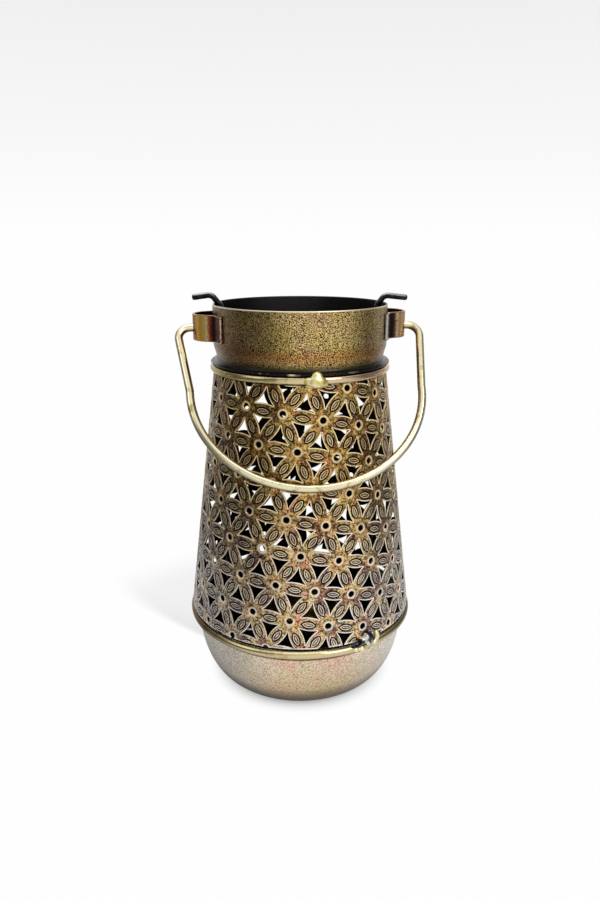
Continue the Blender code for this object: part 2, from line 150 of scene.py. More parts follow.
def give_surface(material, shader, colour, pattern, strength, depth):
    """Gives a metal its colour and, from a pattern, the fine relief of its surface."""
    relief = add_node(material, "Bump", {"Strength": strength, "Distance": depth}, {"Height": pattern})
    link(material, shader, {"Base Color": colour, "Normal": relief})


def draw_line(name, points):
    """Starts a piece as a single vertex and extrudes it from point to point; stays in edit mode."""
    bpy.ops.object.select_all(action="DESELECT")
    bpy.ops.mesh.primitive_plane_add(size=MM, location=(0.0, 0.0, 0.0))
    piece = bpy.context.object
    piece.name = name
    bpy.ops.object.mode_set(mode="EDIT")
    bpy.ops.mesh.merge(type="CENTER")
    bpy.ops.transform.translate(value=points[0])
    for last, point in zip(points, points[1:]):
        step = Vector(point) - Vector(last)
        bpy.ops.mesh.extrude_region_move(TRANSFORM_OT_translate={"value": step})
    return piece


def weld(distance):
    """Joins points that lie together and turns the faces outwards, in edit mode."""
    bpy.ops.mesh.select_all(action="SELECT")
    bpy.ops.mesh.remove_doubles(threshold=distance)
    bpy.ops.mesh.normals_make_consistent(inside=False)


def turn_on_lathe(steps):
    """Spins the drawn profile round the Z axis, closes its seam and leaves edit mode."""
    bpy.ops.mesh.select_all(action="SELECT")
    bpy.ops.mesh.spin(steps=steps, angle=math.tau, center=(0.0, 0.0, 0.0), axis=(0.0, 0.0, 1.0))
    weld(NEAR)
    bpy.ops.object.mode_set(mode="OBJECT")


def pick(*pieces):
    """Makes these the only selected pieces, and the first of them the active one."""
    bpy.ops.object.select_all(action="DESELECT")
    for piece in pieces:
        piece.select_set(True)
    bpy.context.view_layer.objects.active = pieces[0]


def finish_piece(piece, material, body, nodes, sharp=35.0):
    """Gives a piece its metal and shading, and its place in the assembly."""
    pick(piece)
    piece.data.name = piece.name
    piece.data.materials.clear()
    piece.data.materials.append(material)
    bpy.ops.object.shade_smooth_by_angle(angle=math.radians(sharp))
    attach(piece, body)
    if nodes:
        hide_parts(*nodes)


def mark(piece, name, amount):
    """Writes an amount, worked out from each vertex's place, for the metal to read."""
    values = piece.data.attributes.new(name, "FLOAT", "POINT")
    for vert, value in zip(piece.data.vertices, values.data):
        value.value = amount(vert.co)


def arc(centre, half_width, half_height, start, end, steps):
    """Points of a profile along an ellipse; its angles, in degrees, turn from outwards to up."""
    points = []
    for step in range(steps + 1):
        angle = math.radians(start + (end - start) * step / steps)
        radius = centre[0] + half_width * math.cos(angle)
        points.append((radius, 0.0, centre[1] + half_height * math.sin(angle)))
    return points


bowl_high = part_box("base_bowl")[1]
bowl_radius = bowl_high.x - BOWL_DRAWN_IN
bowl_shoulder = bowl_high.z - BOWL_RIM_STRAIGHT
bowl_middle = (BOWL_BASE_RADIUS, bowl_shoulder)
bowl_swell = bowl_radius - BOWL_BASE_RADIUS
bowl_profile = [(0.0, 0.0, BOWL_WALL)]
bowl_profile += arc(bowl_middle, bowl_swell - BOWL_WALL, bowl_shoulder - BOWL_WALL, -90, 0, BOWL_STEPS)
bowl_profile += [(bowl_radius - BOWL_WALL, 0.0, bowl_high.z), (bowl_radius, 0.0, bowl_high.z)]
bowl_profile += arc(bowl_middle, bowl_swell, bowl_shoulder, 0, -90, BOWL_STEPS)
bowl_profile += [(0.0, 0.0, 0.0)]
bowl = draw_line("bowl", bowl_profile)
turn_on_lathe(LATHE_STEPS)


def in_bowl(place):
    """1 for a point on the inner face, which lies within the middle of the wall, and 0 outside."""
    across = max(0.0, math.hypot(place.x, place.y) - BOWL_BASE_RADIUS) / (bowl_swell - BOWL_WALL / 2)
    down = max(0.0, bowl_shoulder - place.z) / (bowl_shoulder - BOWL_WALL / 2)
    return 1.0 if math.hypot(across, down) < 1.0 else 0.0


mark(bowl, "soot", in_bowl)

# lacquered champagne bronze: satin, clouded with rose and straw, golden below, with a painted
# pale reflection at both sides and painted shade, the reflected shadow, dark at the foot; a brown
# line where the ring begins is flux of the brazing and painted shade under the ring; the pebble of the
# lacquer, about 0.5 mm on the real bowl, is drawn coarser so that it shows at the size of the photograph
bowl_bronze, shader, place = start_metal("lacquered_champagne_bronze", 0.3, 0.5)
where = add_node(bowl_bronze, "SeparateXYZ", {}, {"Vector": place})
sideways = add_node(bowl_bronze, "Math", {"operation": "ABSOLUTE"}, {0: where.outputs["X"]})
soot = add_node(bowl_bronze, "Attribute", {"attribute_name": "soot"})
pebble = add_node(
    bowl_bronze, "TexNoise", {"Scale": 1 / BOWL_PEBBLE, "Detail": 2.0, "Roughness": 0.6}, {"Vector": place},
)
clouds = [(0.34, BOWL_ROSE), (0.52, BOWL_CHAMPAGNE), (0.68, BOWL_STRAW)]
clouded = patchwork(bowl_bronze, place, BOWL_CLOUD, 1.0, clouds)[1]
stain_and_shade_heights = [bowl_high.z - depth for depth in STAIN_AND_SHADE_DEPTHS]
aged_and_shaded = lay_over(bowl_bronze, clouded, [
    (BOWL_GILT, where.outputs["Z"], GILT_HEIGHTS, (0.7, 0.0)),
    # painted reflection: paler and greyer towards both sides
    (BOWL_SIDE_SHEEN, sideways, BOWL_SHEEN_WIDTHS, (0.0, 0.8)),
    (BOWL_SPECK, pebble, (0.3, 0.6), (0.8, 0.0)),
    # painted shade at the foot: the reflected shadow under the bowl
    (BOWL_FOOT_SHADE, where.outputs["Z"], FOOT_SHADE_HEIGHTS, (1.0, 0.0)),
    # flux stain with painted shade, just under the ring
    (FLUX_STAIN_AND_SHADE, where.outputs["Z"], stain_and_shade_heights, WHOLE),
    # soot inside, darkened with painted shade
    (SOOT_AND_SHADE, soot.outputs["Fac"], WHOLE, WHOLE),
])
give_surface(bowl_bronze, shader, aged_and_shaded, pebble, strength=0.5, depth=0.2 * MM)
finish_piece(bowl, bowl_bronze, "lantern", ["base_bowl"])

# Rings: two hoops of round brass wire, bent by hand and closed with braze. The lower one holds
# the bowl and the sheet, the upper one the sheet and the collar. Polished, pinker towards the
# right of the upper ring, where the torch was held longest.
WIRE = 4.0 * MM
SEAT_GAP = 0.3 * MM
BOWL_ABOVE_RING = 1.0 * MM
RING_SEGMENTS = 180
RING_SIDES = 20
RING_WANDER = 0.25 * MM
RING_LIFT = 0.15 * MM
RING_WAVE = 30.0 * MM
RING_UNDER = 1.6 * MM
RING_SETTLE = 0.5 * MM
RING_STAIN = 9.0 * MM
RING_SCRATCH = 0.9 * MM
# where the upper ring's colours stop and the lower one's begin, and how far to the side each lies
BETWEEN_RINGS = (90.0 * MM, 120.0 * MM)
COPPER_WIDTHS = (4.0 * MM, 26.0 * MM)
OLIVE_WIDTHS = (-14.0 * MM, -44.0 * MM)
RING_SHADE_WIDTHS = (30.0 * MM, 56.0 * MM)
RING_BRASS = "dccb9c"
RING_COPPER = "dcb79c"
RING_TARNISH = "86693a"
RING_OLIVE = "94803c"
RING_SIDE_SHADE = "5a452a"


def hoop(name, node, height, drawn_in):
    """A closed wire hoop where a CAD ring is, a little uneven as bent by hand."""
    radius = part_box(node)[1].x - WIRE / 2 - drawn_in
    bpy.ops.object.select_all(action="DESELECT")
    bpy.ops.mesh.primitive_torus_add(
        major_segments=RING_SEGMENTS, minor_segments=RING_SIDES,
        major_radius=radius, minor_radius=WIRE / 2, location=(0.0, 0.0, height),
    )
    ring = bpy.context.object
    ring.name = name
    bpy.ops.object.transform_apply(location=True, rotation=True, scale=True)
    for vert in ring.data.vertices:
        away = Vector((vert.co.x, vert.co.y, 0.0)).normalized()
        wave = noise.noise(away * radius / RING_WAVE + Vector((0.0, 0.0, height / RING_WAVE)))
        vert.co -= away * RING_WANDER * abs(wave)
        vert.co.z += RING_LIFT * wave
    return ring


# polished brass wire: bright, with brown spots of tarnish; the torch left the upper ring pink at its
# right and olive at its left, and painted shade browns both sides of the lower one
ring_brass, shader, place = start_metal("polished_brass_wire", 0.15)
where = add_node(ring_brass, "SeparateXYZ", {}, {"Vector": place})
sideways = add_node(ring_brass, "Math", {"operation": "ABSOLUTE"}, {0: where.outputs["X"]})
above, below = [
    add_node(ring_brass, "MapRange", {"From": BETWEEN_RINGS, "To": amounts}, {"Value": where.outputs["Z"]})
    for amounts in (WHOLE, (1.0, 0.0))
]
scratch = add_node(ring_brass, "TexNoise", {"Scale": 1 / RING_SCRATCH, "Detail": 2.0}, {"Vector": place})
stained = patchwork(ring_brass, place, RING_STAIN, 4.0, [(0.3, RING_TARNISH), (0.46, RING_BRASS)])[1]
shaded_and_torched = lay_over(ring_brass, stained, [
    (RING_COPPER, where.outputs["X"], COPPER_WIDTHS, (0.0, 0.8), above),
    (RING_OLIVE, where.outputs["X"], OLIVE_WIDTHS, (0.0, 0.75), above),
    # painted shade at both sides of the lower ring
    (RING_SIDE_SHADE, sideways, RING_SHADE_WIDTHS, (0.0, 0.9), below),
])
give_surface(ring_brass, shader, shaded_and_torched, scratch, strength=0.15, depth=0.1 * MM)
sheet_low, sheet_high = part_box("pierced_body")
collar_low, collar_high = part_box("collar")
lower_height = bowl_high.z - BOWL_ABOVE_RING
upper_height = collar_low.z - SEAT_GAP - WIRE / 2
lower_ring = hoop("lower_ring_wire", "lower_ring", lower_height - RING_SETTLE, RING_UNDER)
finish_piece(lower_ring, ring_brass, "lantern", ["lower_ring"])
upper_ring = hoop("upper_ring_wire", "upper_ring", upper_height, 0.0)
finish_piece(upper_ring, ring_brass, "lantern", ["upper_ring"])

# Pierced sheet: brass sheet stamped with flowers whose petals each carry a raised leaf, pierced
# between the petals, rolled to a cone with its seam at the back and brazed between the rings.
# Dark antique bronze, rubbed bright along every edge and gold round the flower centres, with painted
# reflection and painted shade towards its sides.
PITCH = 19.1 * MM
ROW_ANGLE = math.radians(-10.0)
FLOWER_RISE = 47.9 * MM
FLOWER_AZIMUTH = math.radians(-6.2)
PLATE = 0.6 * MM
EDGE_INSET = 0.85 * MM
SEAM_GAP = 0.02 * MM
CUSP_SHARE = 0.288
PETAL_SHARE = 0.18
SIDE_STEPS = 8
RIM_WIDTH = 0.5 * MM
RIM_FADE = 0.06 * MM
CONTOUR = 0.1 * MM
BOTTOM_GAP = 1.2 * MM
LEAF_STEPS = 6
LEAF_SLIP = 0.5 * MM
LEAF_SLIP_ANGLE = math.radians(240.0)
EYE_STEPS = 18
# heights above the plain face of the sheet; each names one line of the stamping
EDGE_LEVEL = -0.04 * MM
RIM_LEVEL = 0.06 * MM
CONTOUR_LEVEL = -0.10 * MM
GROOVE_LEVEL = -0.40 * MM
RIDGE_LEVEL = 0.07 * MM
LEAF_LEVEL = -0.06 * MM
MARK_LEVEL = -0.30 * MM
EYE_RING_LEVEL = 0.10 * MM
EYE_EDGE_LEVEL = -0.16 * MM
# length, width and level of each line of a stamped leaf, from its outline inwards
LEAF_LINES = (
    (8.1 * MM, 4.4 * MM, 0.0),
    (8.0 * MM, 4.3 * MM, GROOVE_LEVEL),
    (6.5 * MM, 2.8 * MM, GROOVE_LEVEL),
    (6.4 * MM, 2.7 * MM, RIDGE_LEVEL),
    (5.3 * MM, 1.8 * MM, RIDGE_LEVEL),
    (5.2 * MM, 1.7 * MM, MARK_LEVEL),
    (4.1 * MM, 0.85 * MM, MARK_LEVEL),
    (4.0 * MM, 0.75 * MM, LEAF_LEVEL),
)
# radius and level of each line of a flower's eye, from the back of the sheet to its plain face
EYE_LINES = (
    (1.55 * MM, -PLATE),
    (1.55 * MM, EYE_EDGE_LEVEL),
    (1.72 * MM, EYE_RING_LEVEL),
    (2.35 * MM, EYE_RING_LEVEL),
    (2.75 * MM, 0.0),
)


def turned(point, angle):
    return Matrix.Rotation(angle, 3, "Z") @ Vector(point)


def select_where(piece, test):
    """Selects the vertices, in edit mode, for which the test on their place is true."""
    bpy.ops.mesh.select_mode(type="VERT")
    bpy.ops.mesh.select_all(action="DESELECT")
    bpy.ops.object.mode_set(mode="OBJECT")
    for vert in piece.data.vertices:
        vert.select = test(vert.co)
    bpy.ops.object.mode_set(mode="EDIT")


def close_line():
    """Joins the ends of the drawn line with an edge, in edit mode."""
    bpy.ops.mesh.select_all(action="SELECT")
    bpy.ops.mesh.edge_face_add()
    bpy.ops.mesh.delete(type="ONLY_FACE")


def is_one_of(points):
    return lambda place: min((place - point).length for point in points) < NEAR


def bowed_line(half, sagitta, steps):
    """Points of a bowed line along X, from -half to half, that rises by the sagitta in the middle."""
    radius = (half * half + sagitta * sagitta) / (2 * sagitta)
    spread = math.asin(half / radius)
    points = []
    for step in range(steps + 1):
        angle = spread * (2 * step / steps - 1)
        points.append(Vector((radius * math.sin(angle), radius * math.cos(angle) - radius + sagitta, 0.0)))
    return points


cusp = turned((CUSP_SHARE * PITCH, 0.0, 0.0), math.radians(30.0))
petal_middle = Vector((PITCH / 2, 0.0, 0.0))
petal_face = []
for point in bowed_line(PITCH / 2 - cusp.x, PETAL_SHARE * PITCH - cusp.y, SIDE_STEPS):
    petal_face.append(point + Vector((PITCH / 2, cusp.y - RIM_WIDTH - RIM_FADE - CONTOUR, 0.0)))


def stamp_leaf(piece, rim, middle):
    """Adds a leaf to a petal: its outline first, then extruded and drawn in from line to line."""
    length, width, level = LEAF_LINES[0]
    upper = bowed_line(length / 2, width / 2, LEAF_STEPS)
    outline = upper[:-1] + [-point for point in upper[:-1]]
    outline = [Vector((point.x, point.y, 0.0)) + middle for point in outline]
    bpy.ops.mesh.primitive_circle_add(vertices=len(outline), radius=MM, fill_type="NGON", location=middle)
    bpy.ops.object.mode_set(mode="OBJECT")
    for vert, point in zip(piece.data.vertices[-len(outline):], outline):
        vert.co = point
    bpy.ops.object.mode_set(mode="EDIT")
    select_where(piece, is_one_of(rim + outline))
    bpy.ops.mesh.fill(use_beauty=True)
    select_where(piece, is_one_of(outline))
    for new_length, new_width, new_level in LEAF_LINES[1:]:
        bpy.ops.mesh.extrude_region_move(TRANSFORM_OT_translate={"value": (0.0, 0.0, new_level - level)})
        drawn_in = (new_length / length, new_width / width, 1.0)
        bpy.ops.transform.resize(value=drawn_in, center_override=middle + Vector((0.0, 0.0, new_level)))
        length, width, level = new_length, new_width, new_level


def petal(angle):
    """One whole petal with its leaf, its worn rims, its walls and its back, turned to a row."""
    far_side = [Vector((point.x, -point.y, 0.0)) for point in petal_face]
    piece = draw_line("petal", petal_face + far_side[::-1])
    close_line()
    slip = turned((LEAF_SLIP, 0.0, 0.0), LEAF_SLIP_ANGLE - angle)
    stamp_leaf(piece, petal_face + far_side, petal_middle + slip)
    for inner, side in ((petal_face, 1.0), (far_side, -1.0)):
        select_where(piece, is_one_of(inner))
        contour = (0.0, side * CONTOUR, CONTOUR_LEVEL)
        rim = (0.0, side * RIM_FADE, RIM_LEVEL - CONTOUR_LEVEL)
        edge = (0.0, side * RIM_WIDTH, EDGE_LEVEL - RIM_LEVEL)
        wall = (0.0, 0.0, -PLATE - EDGE_LEVEL)
        for step in (contour, rim, edge, wall):
            bpy.ops.mesh.extrude_edges_move(TRANSFORM_OT_translate={"value": step})
    select_where(piece, lambda place: place.z < -PLATE + NEAR)
    bpy.ops.mesh.edge_face_add()
    bpy.ops.mesh.select_all(action="SELECT")
    bpy.ops.transform.rotate(value=-angle, orient_axis="Z", center_override=(0.0, 0.0, 0.0))
    bpy.ops.object.mode_set(mode="OBJECT")
    return piece


def flower_middle():
    """The middle of a flower: its raised eye, its face out to the six petals, and its back."""
    corners = []
    for petal_number in range(6):
        for side in (-1.0, 1.0):
            corner = (petal_face[0].x, side * petal_face[0].y, 0.0)
            corners.append(turned(corner, ROW_ANGLE + petal_number * math.pi / 3))
    piece = draw_line("flower", corners)
    close_line()
    # worn rim at the point of each gap, between one petal and the next
    between = math.radians(30.0)
    lines = []
    for inset, level in ((0.0, 0.0), (CONTOUR, CONTOUR_LEVEL), (CONTOUR + RIM_FADE, RIM_LEVEL)):
        corner = turned(petal_face[0] + Vector((0.0, inset, 0.0)), -between)
        lines.append((corner.x, corner.y, level))
    for petal_number in range(6):
        middle_turn = ROW_ANGLE + petal_number * math.pi / 3 + between
        select_where(piece, is_one_of([corners[2 * petal_number + 1], corners[(2 * petal_number + 2) % 12]]))
        for (last_out, last_width, last_level), (out, width, level) in zip(lines, lines[1:]):
            last_middle = turned((last_out, 0.0, last_level), middle_turn)
            middle = turned((out, 0.0, level), middle_turn)
            bpy.ops.mesh.extrude_edges_move(TRANSFORM_OT_translate={"value": middle - last_middle})
            narrowed = width / last_width
            bpy.ops.transform.resize(value=(narrowed, narrowed, 1.0), center_override=middle)
        tip = turned((CUSP_SHARE * PITCH, 0.0, EDGE_LEVEL), middle_turn)
        bpy.ops.mesh.extrude_edges_move()
        bpy.ops.mesh.merge(type="CENTER")
        bpy.ops.transform.translate(value=tip - middle)
    radius, level = EYE_LINES[0]
    bpy.ops.mesh.select_all(action="DESELECT")
    bpy.ops.mesh.primitive_circle_add(vertices=EYE_STEPS, radius=radius, location=(0.0, 0.0, level))
    for new_radius, new_level in EYE_LINES[1:]:
        bpy.ops.mesh.extrude_edges_move(TRANSFORM_OT_translate={"value": (0.0, 0.0, new_level - level)})
        wider = (new_radius / radius, new_radius / radius, 1.0)
        bpy.ops.transform.resize(value=wider, center_override=(0.0, 0.0, new_level))
        radius, level = new_radius, new_level
    eye_outline = EYE_LINES[-1][0]
    on_corner = is_one_of(corners)

    def on_face(place):
        return abs(place.z) < NEAR and (place.length < eye_outline + NEAR or on_corner(place))

    select_where(piece, on_face)
    bpy.ops.mesh.fill(use_beauty=True)
    bpy.ops.mesh.select_all(action="DESELECT")
    bpy.ops.mesh.primitive_circle_add(
        vertices=6, radius=CUSP_SHARE * PITCH, location=(0.0, 0.0, -PLATE), rotation=(0.0, 0.0, ROW_ANGLE),
    )
    select_where(piece, lambda place: place.z < -PLATE + NEAR)
    bpy.ops.mesh.fill(use_beauty=True)
    bpy.ops.object.mode_set(mode="OBJECT")
    return piece


flower = flower_middle()
petals = [petal(ROW_ANGLE + turn * math.pi / 3) for turn in range(3)]
pick(flower, *petals)
bpy.ops.object.join()
bpy.ops.object.mode_set(mode="EDIT")
weld(NEAR)
bpy.ops.object.mode_set(mode="OBJECT")

# how each line of the stamping wears: rubbed bright, filled with dark patina
RUBBED = {
    EDGE_LEVEL: 1.0, RIM_LEVEL: 1.0, RIDGE_LEVEL: 0.65,
    LEAF_LEVEL: 0.4, EYE_RING_LEVEL: 0.8, EYE_EDGE_LEVEL: 0.5,
}
FILLED = {CONTOUR_LEVEL: 1.0, GROOVE_LEVEL: 1.0, MARK_LEVEL: 1.0}
GOLD_REACH = 6.5 * MM
wear = flower.data.attributes.new("wear", "FLOAT_COLOR", "POINT")
flower_centres = [Vector((0.0, 0.0, 0.0))]
flower_centres += [turned((PITCH, 0.0, 0.0), ROW_ANGLE + turn * math.pi / 3) for turn in range(6)]
for vert, worn in zip(flower.data.vertices, wear.data):
    nearest = min((Vector((vert.co.x, vert.co.y, 0.0)) - centre).length for centre in flower_centres)
    rubbed = max((amount for level, amount in RUBBED.items() if abs(vert.co.z - level) < NEAR), default=0.0)
    filled = max((amount for level, amount in FILLED.items() if abs(vert.co.z - level) < NEAR), default=0.0)
    inside = 1.0 if vert.co.z < -PLATE + NEAR else 0.0
    worn.color = (rubbed, filled, max(0.0, 1.0 - nearest / GOLD_REACH), inside)

# the flowers are laid out on the flat sheet, measured from the point of the cone
top_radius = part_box("upper_ring")[1].x - WIRE / 2
bottom_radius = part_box("lower_ring")[1].x - WIRE / 2 - EDGE_INSET
cone_angle = math.atan((bottom_radius - top_radius) / (sheet_high.z - sheet_low.z))
cone_apex = sheet_high.z + top_radius / math.tan(cone_angle)
half_sector = math.pi * math.sin(cone_angle)
anchor_slant = (cone_apex - sheet_low.z - FLOWER_RISE) / math.cos(cone_angle)
anchor = turned((0.0, -anchor_slant, 0.0), FLOWER_AZIMUTH * math.sin(cone_angle))
nearest_slant = (cone_apex - sheet_high.z) / math.cos(cone_angle) - PITCH
farthest_slant = (cone_apex - sheet_low.z) / math.cos(cone_angle) + PITCH
row = turned((PITCH, 0.0, 0.0), ROW_ANGLE)
column = turned(row, math.pi / 3)
reach = int(farthest_slant / PITCH)
bpy.ops.object.select_all(action="DESELECT")
for across in range(-reach, reach + 1):
    for along in range(-reach, reach + 1):
        place = anchor + row * along + column * across
        angle = abs(math.atan2(place.x, -place.y))
        if nearest_slant < place.length < farthest_slant and angle < half_sector + PITCH / place.length:
            copy = flower.copy()
            copy.data = flower.data.copy()
            copy.data.transform(Matrix.Translation(place))
            bpy.context.scene.collection.objects.link(copy)
            copy.select_set(True)
            pierced_sheet = copy
bpy.data.objects.remove(flower)
bpy.context.view_layer.objects.active = pierced_sheet
bpy.ops.object.join()
bpy.ops.object.mode_set(mode="EDIT")
weld(5 * NEAR)


def trim(place, normal):
    """Cuts the sheet with a plane, drops the side that the normal points to and closes the cut."""
    bpy.ops.mesh.select_all(action="SELECT")
    bpy.ops.mesh.bisect(plane_co=place, plane_no=normal, use_fill=True, clear_outer=True, threshold=NEAR)


for side in (-1.0, 1.0):
    seam_normal = Vector((side * math.cos(half_sector), math.sin(half_sector), 0.0))
    trim(-seam_normal * SEAM_GAP / 2, seam_normal)
bpy.ops.object.mode_set(mode="OBJECT")


def rolled(place):
    """Rolls a point of the flat sheet on to the cone, with its level along the cone's normal."""
    slant = math.hypot(place.x, place.y)
    azimuth = math.atan2(place.x, -place.y) / math.sin(cone_angle)
    level = PLATE / 2 + place.z
    radius = slant * math.sin(cone_angle) + level * math.cos(cone_angle)
    height = cone_apex - slant * math.cos(cone_angle) + level * math.sin(cone_angle)
    return Vector((radius * math.sin(azimuth), -radius * math.cos(azimuth), height))


for vert in pierced_sheet.data.vertices:
    vert.co = rolled(vert.co)
bpy.ops.object.mode_set(mode="EDIT")
sheet_bottom = sheet_low.z + BOTTOM_GAP
trim((0.0, 0.0, sheet_high.z), (0.0, 0.0, 1.0))
trim((0.0, 0.0, sheet_bottom), (0.0, 0.0, -1.0))
# two level lines keep the worn rim of the bottom edge as narrow as that of the petals
for rise in (RIM_WIDTH, RIM_WIDTH + RIM_FADE):
    bpy.ops.mesh.select_all(action="SELECT")
    bpy.ops.mesh.bisect(plane_co=(0.0, 0.0, sheet_bottom + rise), plane_no=(0.0, 0.0, 1.0), threshold=NEAR)
# bits that the level cuts left hanging on nothing are dropped
bpy.ops.mesh.separate(type="LOOSE")
bpy.ops.object.mode_set(mode="OBJECT")
bits = sorted(bpy.context.selected_objects, key=lambda bit: len(bit.data.vertices))
pierced_sheet = bits.pop()
for bit in bits:
    bpy.data.objects.remove(bit)
pierced_sheet.name = "pierced_sheet"
pick(pierced_sheet)
bpy.ops.object.mode_set(mode="EDIT")
bpy.ops.mesh.select_all(action="DESELECT")
bpy.ops.mesh.select_face_by_sides(number=4, type="GREATER")
bpy.ops.mesh.quads_convert_to_tris(ngon_method="BEAUTY")
bpy.ops.object.mode_set(mode="OBJECT")
for vert, worn in zip(pierced_sheet.data.vertices, pierced_sheet.data.attributes["wear"].data):
    if vert.co.z < sheet_bottom + RIM_WIDTH + NEAR:
        worn.color = (1.0, 0.0, 0.0, worn.color[3])

# antique bronze: gold and olive above, champagne and rose below, a painted grey reflection at both
# sides and painted shade at both sides above, mottled with dark patina that fills the stamped lines;
# pale wax rubbed over the edges dulls their metal; the back, inside the lantern, is soot and painted shade
SHEET_BROWN = "8c5c30"
SHEET_BRONZE = "fac466"
SHEET_OLIVE = "c8b062"
SHEET_COPPER = "e49656"
SHEET_MAUVE = "9a6e60"
SHEET_CHAMPAGNE = "fad8a2"
SHEET_STRAW = "dec47e"
SHEET_ROSE = "f0ac84"
SHEET_GOLD = "f0b04c"
SHEET_SIDE_SHEEN = "c8c6c2"
RUBBED_ABOVE = "fee4ac"
RUBBED_BELOW = "fff8ea"
SHEET_MOTTLE_AND_SIDE_SHADE = "24180e"
SHEET_PATINA = "0c0806"
SHEET_CLOUD = 9.0 * MM
SHEET_LIT_STRIP = 12.0 * MM
SHEET_PATCH = 7.2 * MM
SHEET_MOTTLE = 2.0 * MM
SHEET_GRIT = 0.8 * MM
# where colours come or go: heights, and widths from the middle or from the most lit strip of the sheet
CLOUD_HEIGHTS = (65.0 * MM, 125.0 * MM)
SHEET_SHEEN_HEIGHTS = (80.0 * MM, 150.0 * MM)
SHEET_SHEEN_WIDTHS = (24.0 * MM, 54.0 * MM)
UPPER_SHADE_HEIGHTS = (70.0 * MM, 150.0 * MM)
UPPER_SHADE_WIDTHS = (24.0 * MM, 52.0 * MM)
RUB_WIDTHS = (18.0 * MM, 54.0 * MM)
sheet_bronze, shader, place = start_metal("antique_bronze_sheet", 0.32, 0.15)
lines = add_node(sheet_bronze, "Attribute", {"attribute_name": "wear"})
line = add_node(sheet_bronze, "SeparateColor", {}, {"Color": lines.outputs["Color"]})
where = add_node(sheet_bronze, "SeparateXYZ", {}, {"Vector": place})
sideways = add_node(sheet_bronze, "Math", {"operation": "ABSOLUTE"}, {0: where.outputs["X"]})
from_lit_strip = add_node(sheet_bronze, "Math", {"operation": "SUBTRACT", 1: SHEET_LIT_STRIP}, {0: where.outputs["X"]})
off_lit_strip = add_node(sheet_bronze, "Math", {"operation": "ABSOLUTE"}, {0: from_lit_strip})
cloud, patch, mottle, grit = [
    add_node(sheet_bronze, "TexNoise", {"Scale": 1 / size, "Detail": detail}, {"Vector": place})
    for size, detail in ((SHEET_CLOUD, 4.0), (SHEET_PATCH, 2.0), (SHEET_MOTTLE, 3.0), (SHEET_GRIT, 2.0))
]
clouds_above = [(0.42, SHEET_BROWN), (0.51, SHEET_BRONZE), (0.58, SHEET_OLIVE), (0.66, SHEET_COPPER)]
clouds_below = [(0.42, SHEET_MAUVE), (0.51, SHEET_CHAMPAGNE), (0.58, SHEET_STRAW), (0.66, SHEET_ROSE)]
upper = add_node(sheet_bronze, "ValToRGB", {"stops": clouds_above}, {"Fac": cloud})
lower = add_node(sheet_bronze, "ValToRGB", {"stops": clouds_below}, {"Fac": cloud})
height, sheen_below, shade_above = [
    add_node(sheet_bronze, "MapRange", {"From": heights, "To": amounts}, {"Value": where.outputs["Z"]})
    for heights, amounts in ((CLOUD_HEIGHTS, WHOLE), (SHEET_SHEEN_HEIGHTS, (1.0, 0.2)), (UPPER_SHADE_HEIGHTS, (0.1, 0.6)))
]
clouded = add_node(sheet_bronze, "Mix", {"data_type": "RGBA"}, {0: height, 6: lower, 7: upper})
# the dark mottling covers more of the metal above than below
darker_to = add_node(sheet_bronze, "MapRange", {"To": (0.52, 0.62)}, {"Value": height})
shade = add_node(
    sheet_bronze, "MapRange", {"From Min": 0.36, "To": (0.85, 0.0)}, {"Value": mottle, "From Max": darker_to},
)
crowd = add_node(sheet_bronze, "MapRange", {"To": (0.7, 1.0)}, {"Value": line.outputs["Blue"]})
aged_and_shaded = lay_over(sheet_bronze, clouded.outputs[2], [
    # painted reflection: greyer towards both sides, less so above
    (SHEET_SIDE_SHEEN, sideways, SHEET_SHEEN_WIDTHS, (0.0, 0.8), sheen_below),
    # painted shade: darker towards both sides, more so above
    (SHEET_MOTTLE_AND_SIDE_SHADE, off_lit_strip, UPPER_SHADE_WIDTHS, WHOLE, shade_above),
    (SHEET_GOLD, patch, (0.44, 0.62), (0.0, 0.9), line.outputs["Blue"]),
    (SHEET_MOTTLE_AND_SIDE_SHADE, shade, WHOLE, WHOLE),
    (SHEET_PATINA, grit, (0.38, 0.5), (1.0, 0.0), crowd),
])
# the wax lies on the rubbed lines, thinned with painted shade away from the most lit strip, and here
# and there lie pale painted glints
rub_side_shade = add_node(sheet_bronze, "MapRange", {"From": RUB_WIDTHS, "To": (1.0, 0.55)}, {"Value": off_lit_strip})
rub_patch = add_node(sheet_bronze, "MapRange", {"From": (0.36, 0.54), "To": (0.7, 1.0)}, {"Value": patch})
rub_share = add_node(sheet_bronze, "Math", {"operation": "MULTIPLY"}, {0: rub_side_shade, 1: rub_patch})
rub = add_node(sheet_bronze, "Math", {"operation": "MULTIPLY"}, {0: line.outputs["Red"], 1: rub_share})
glint = add_node(sheet_bronze, "MapRange", {"From": (0.56, 0.66), "To": (0.0, 0.4)}, {"Value": grit})
wax = add_node(sheet_bronze, "Math", {"operation": "MAXIMUM"}, {0: rub, 1: glint})
rubbing = add_node(
    sheet_bronze, "Mix", {"data_type": "RGBA", 6: paint(RUBBED_BELOW), 7: paint(RUBBED_ABOVE)}, {0: height},
)
rubbed = add_node(sheet_bronze, "Mix", {"data_type": "RGBA"}, {0: wax, 6: aged_and_shaded, 7: rubbing.outputs[2]})
blackened = lay_over(sheet_bronze, rubbed.outputs[2], [
    (SHEET_PATINA, line.outputs["Green"], WHOLE, WHOLE),
    # the back of the sheet, inside the lantern, is soot darkened with painted shade
    (SOOT_AND_SHADE, lines.outputs["Alpha"], WHOLE, WHOLE),
])
give_surface(sheet_bronze, shader, blackened, grit, strength=0.4, depth=0.12 * MM)
waxed = add_node(sheet_bronze, "MapRange", {"To": (1.0, 0.1)}, {"Value": rub})
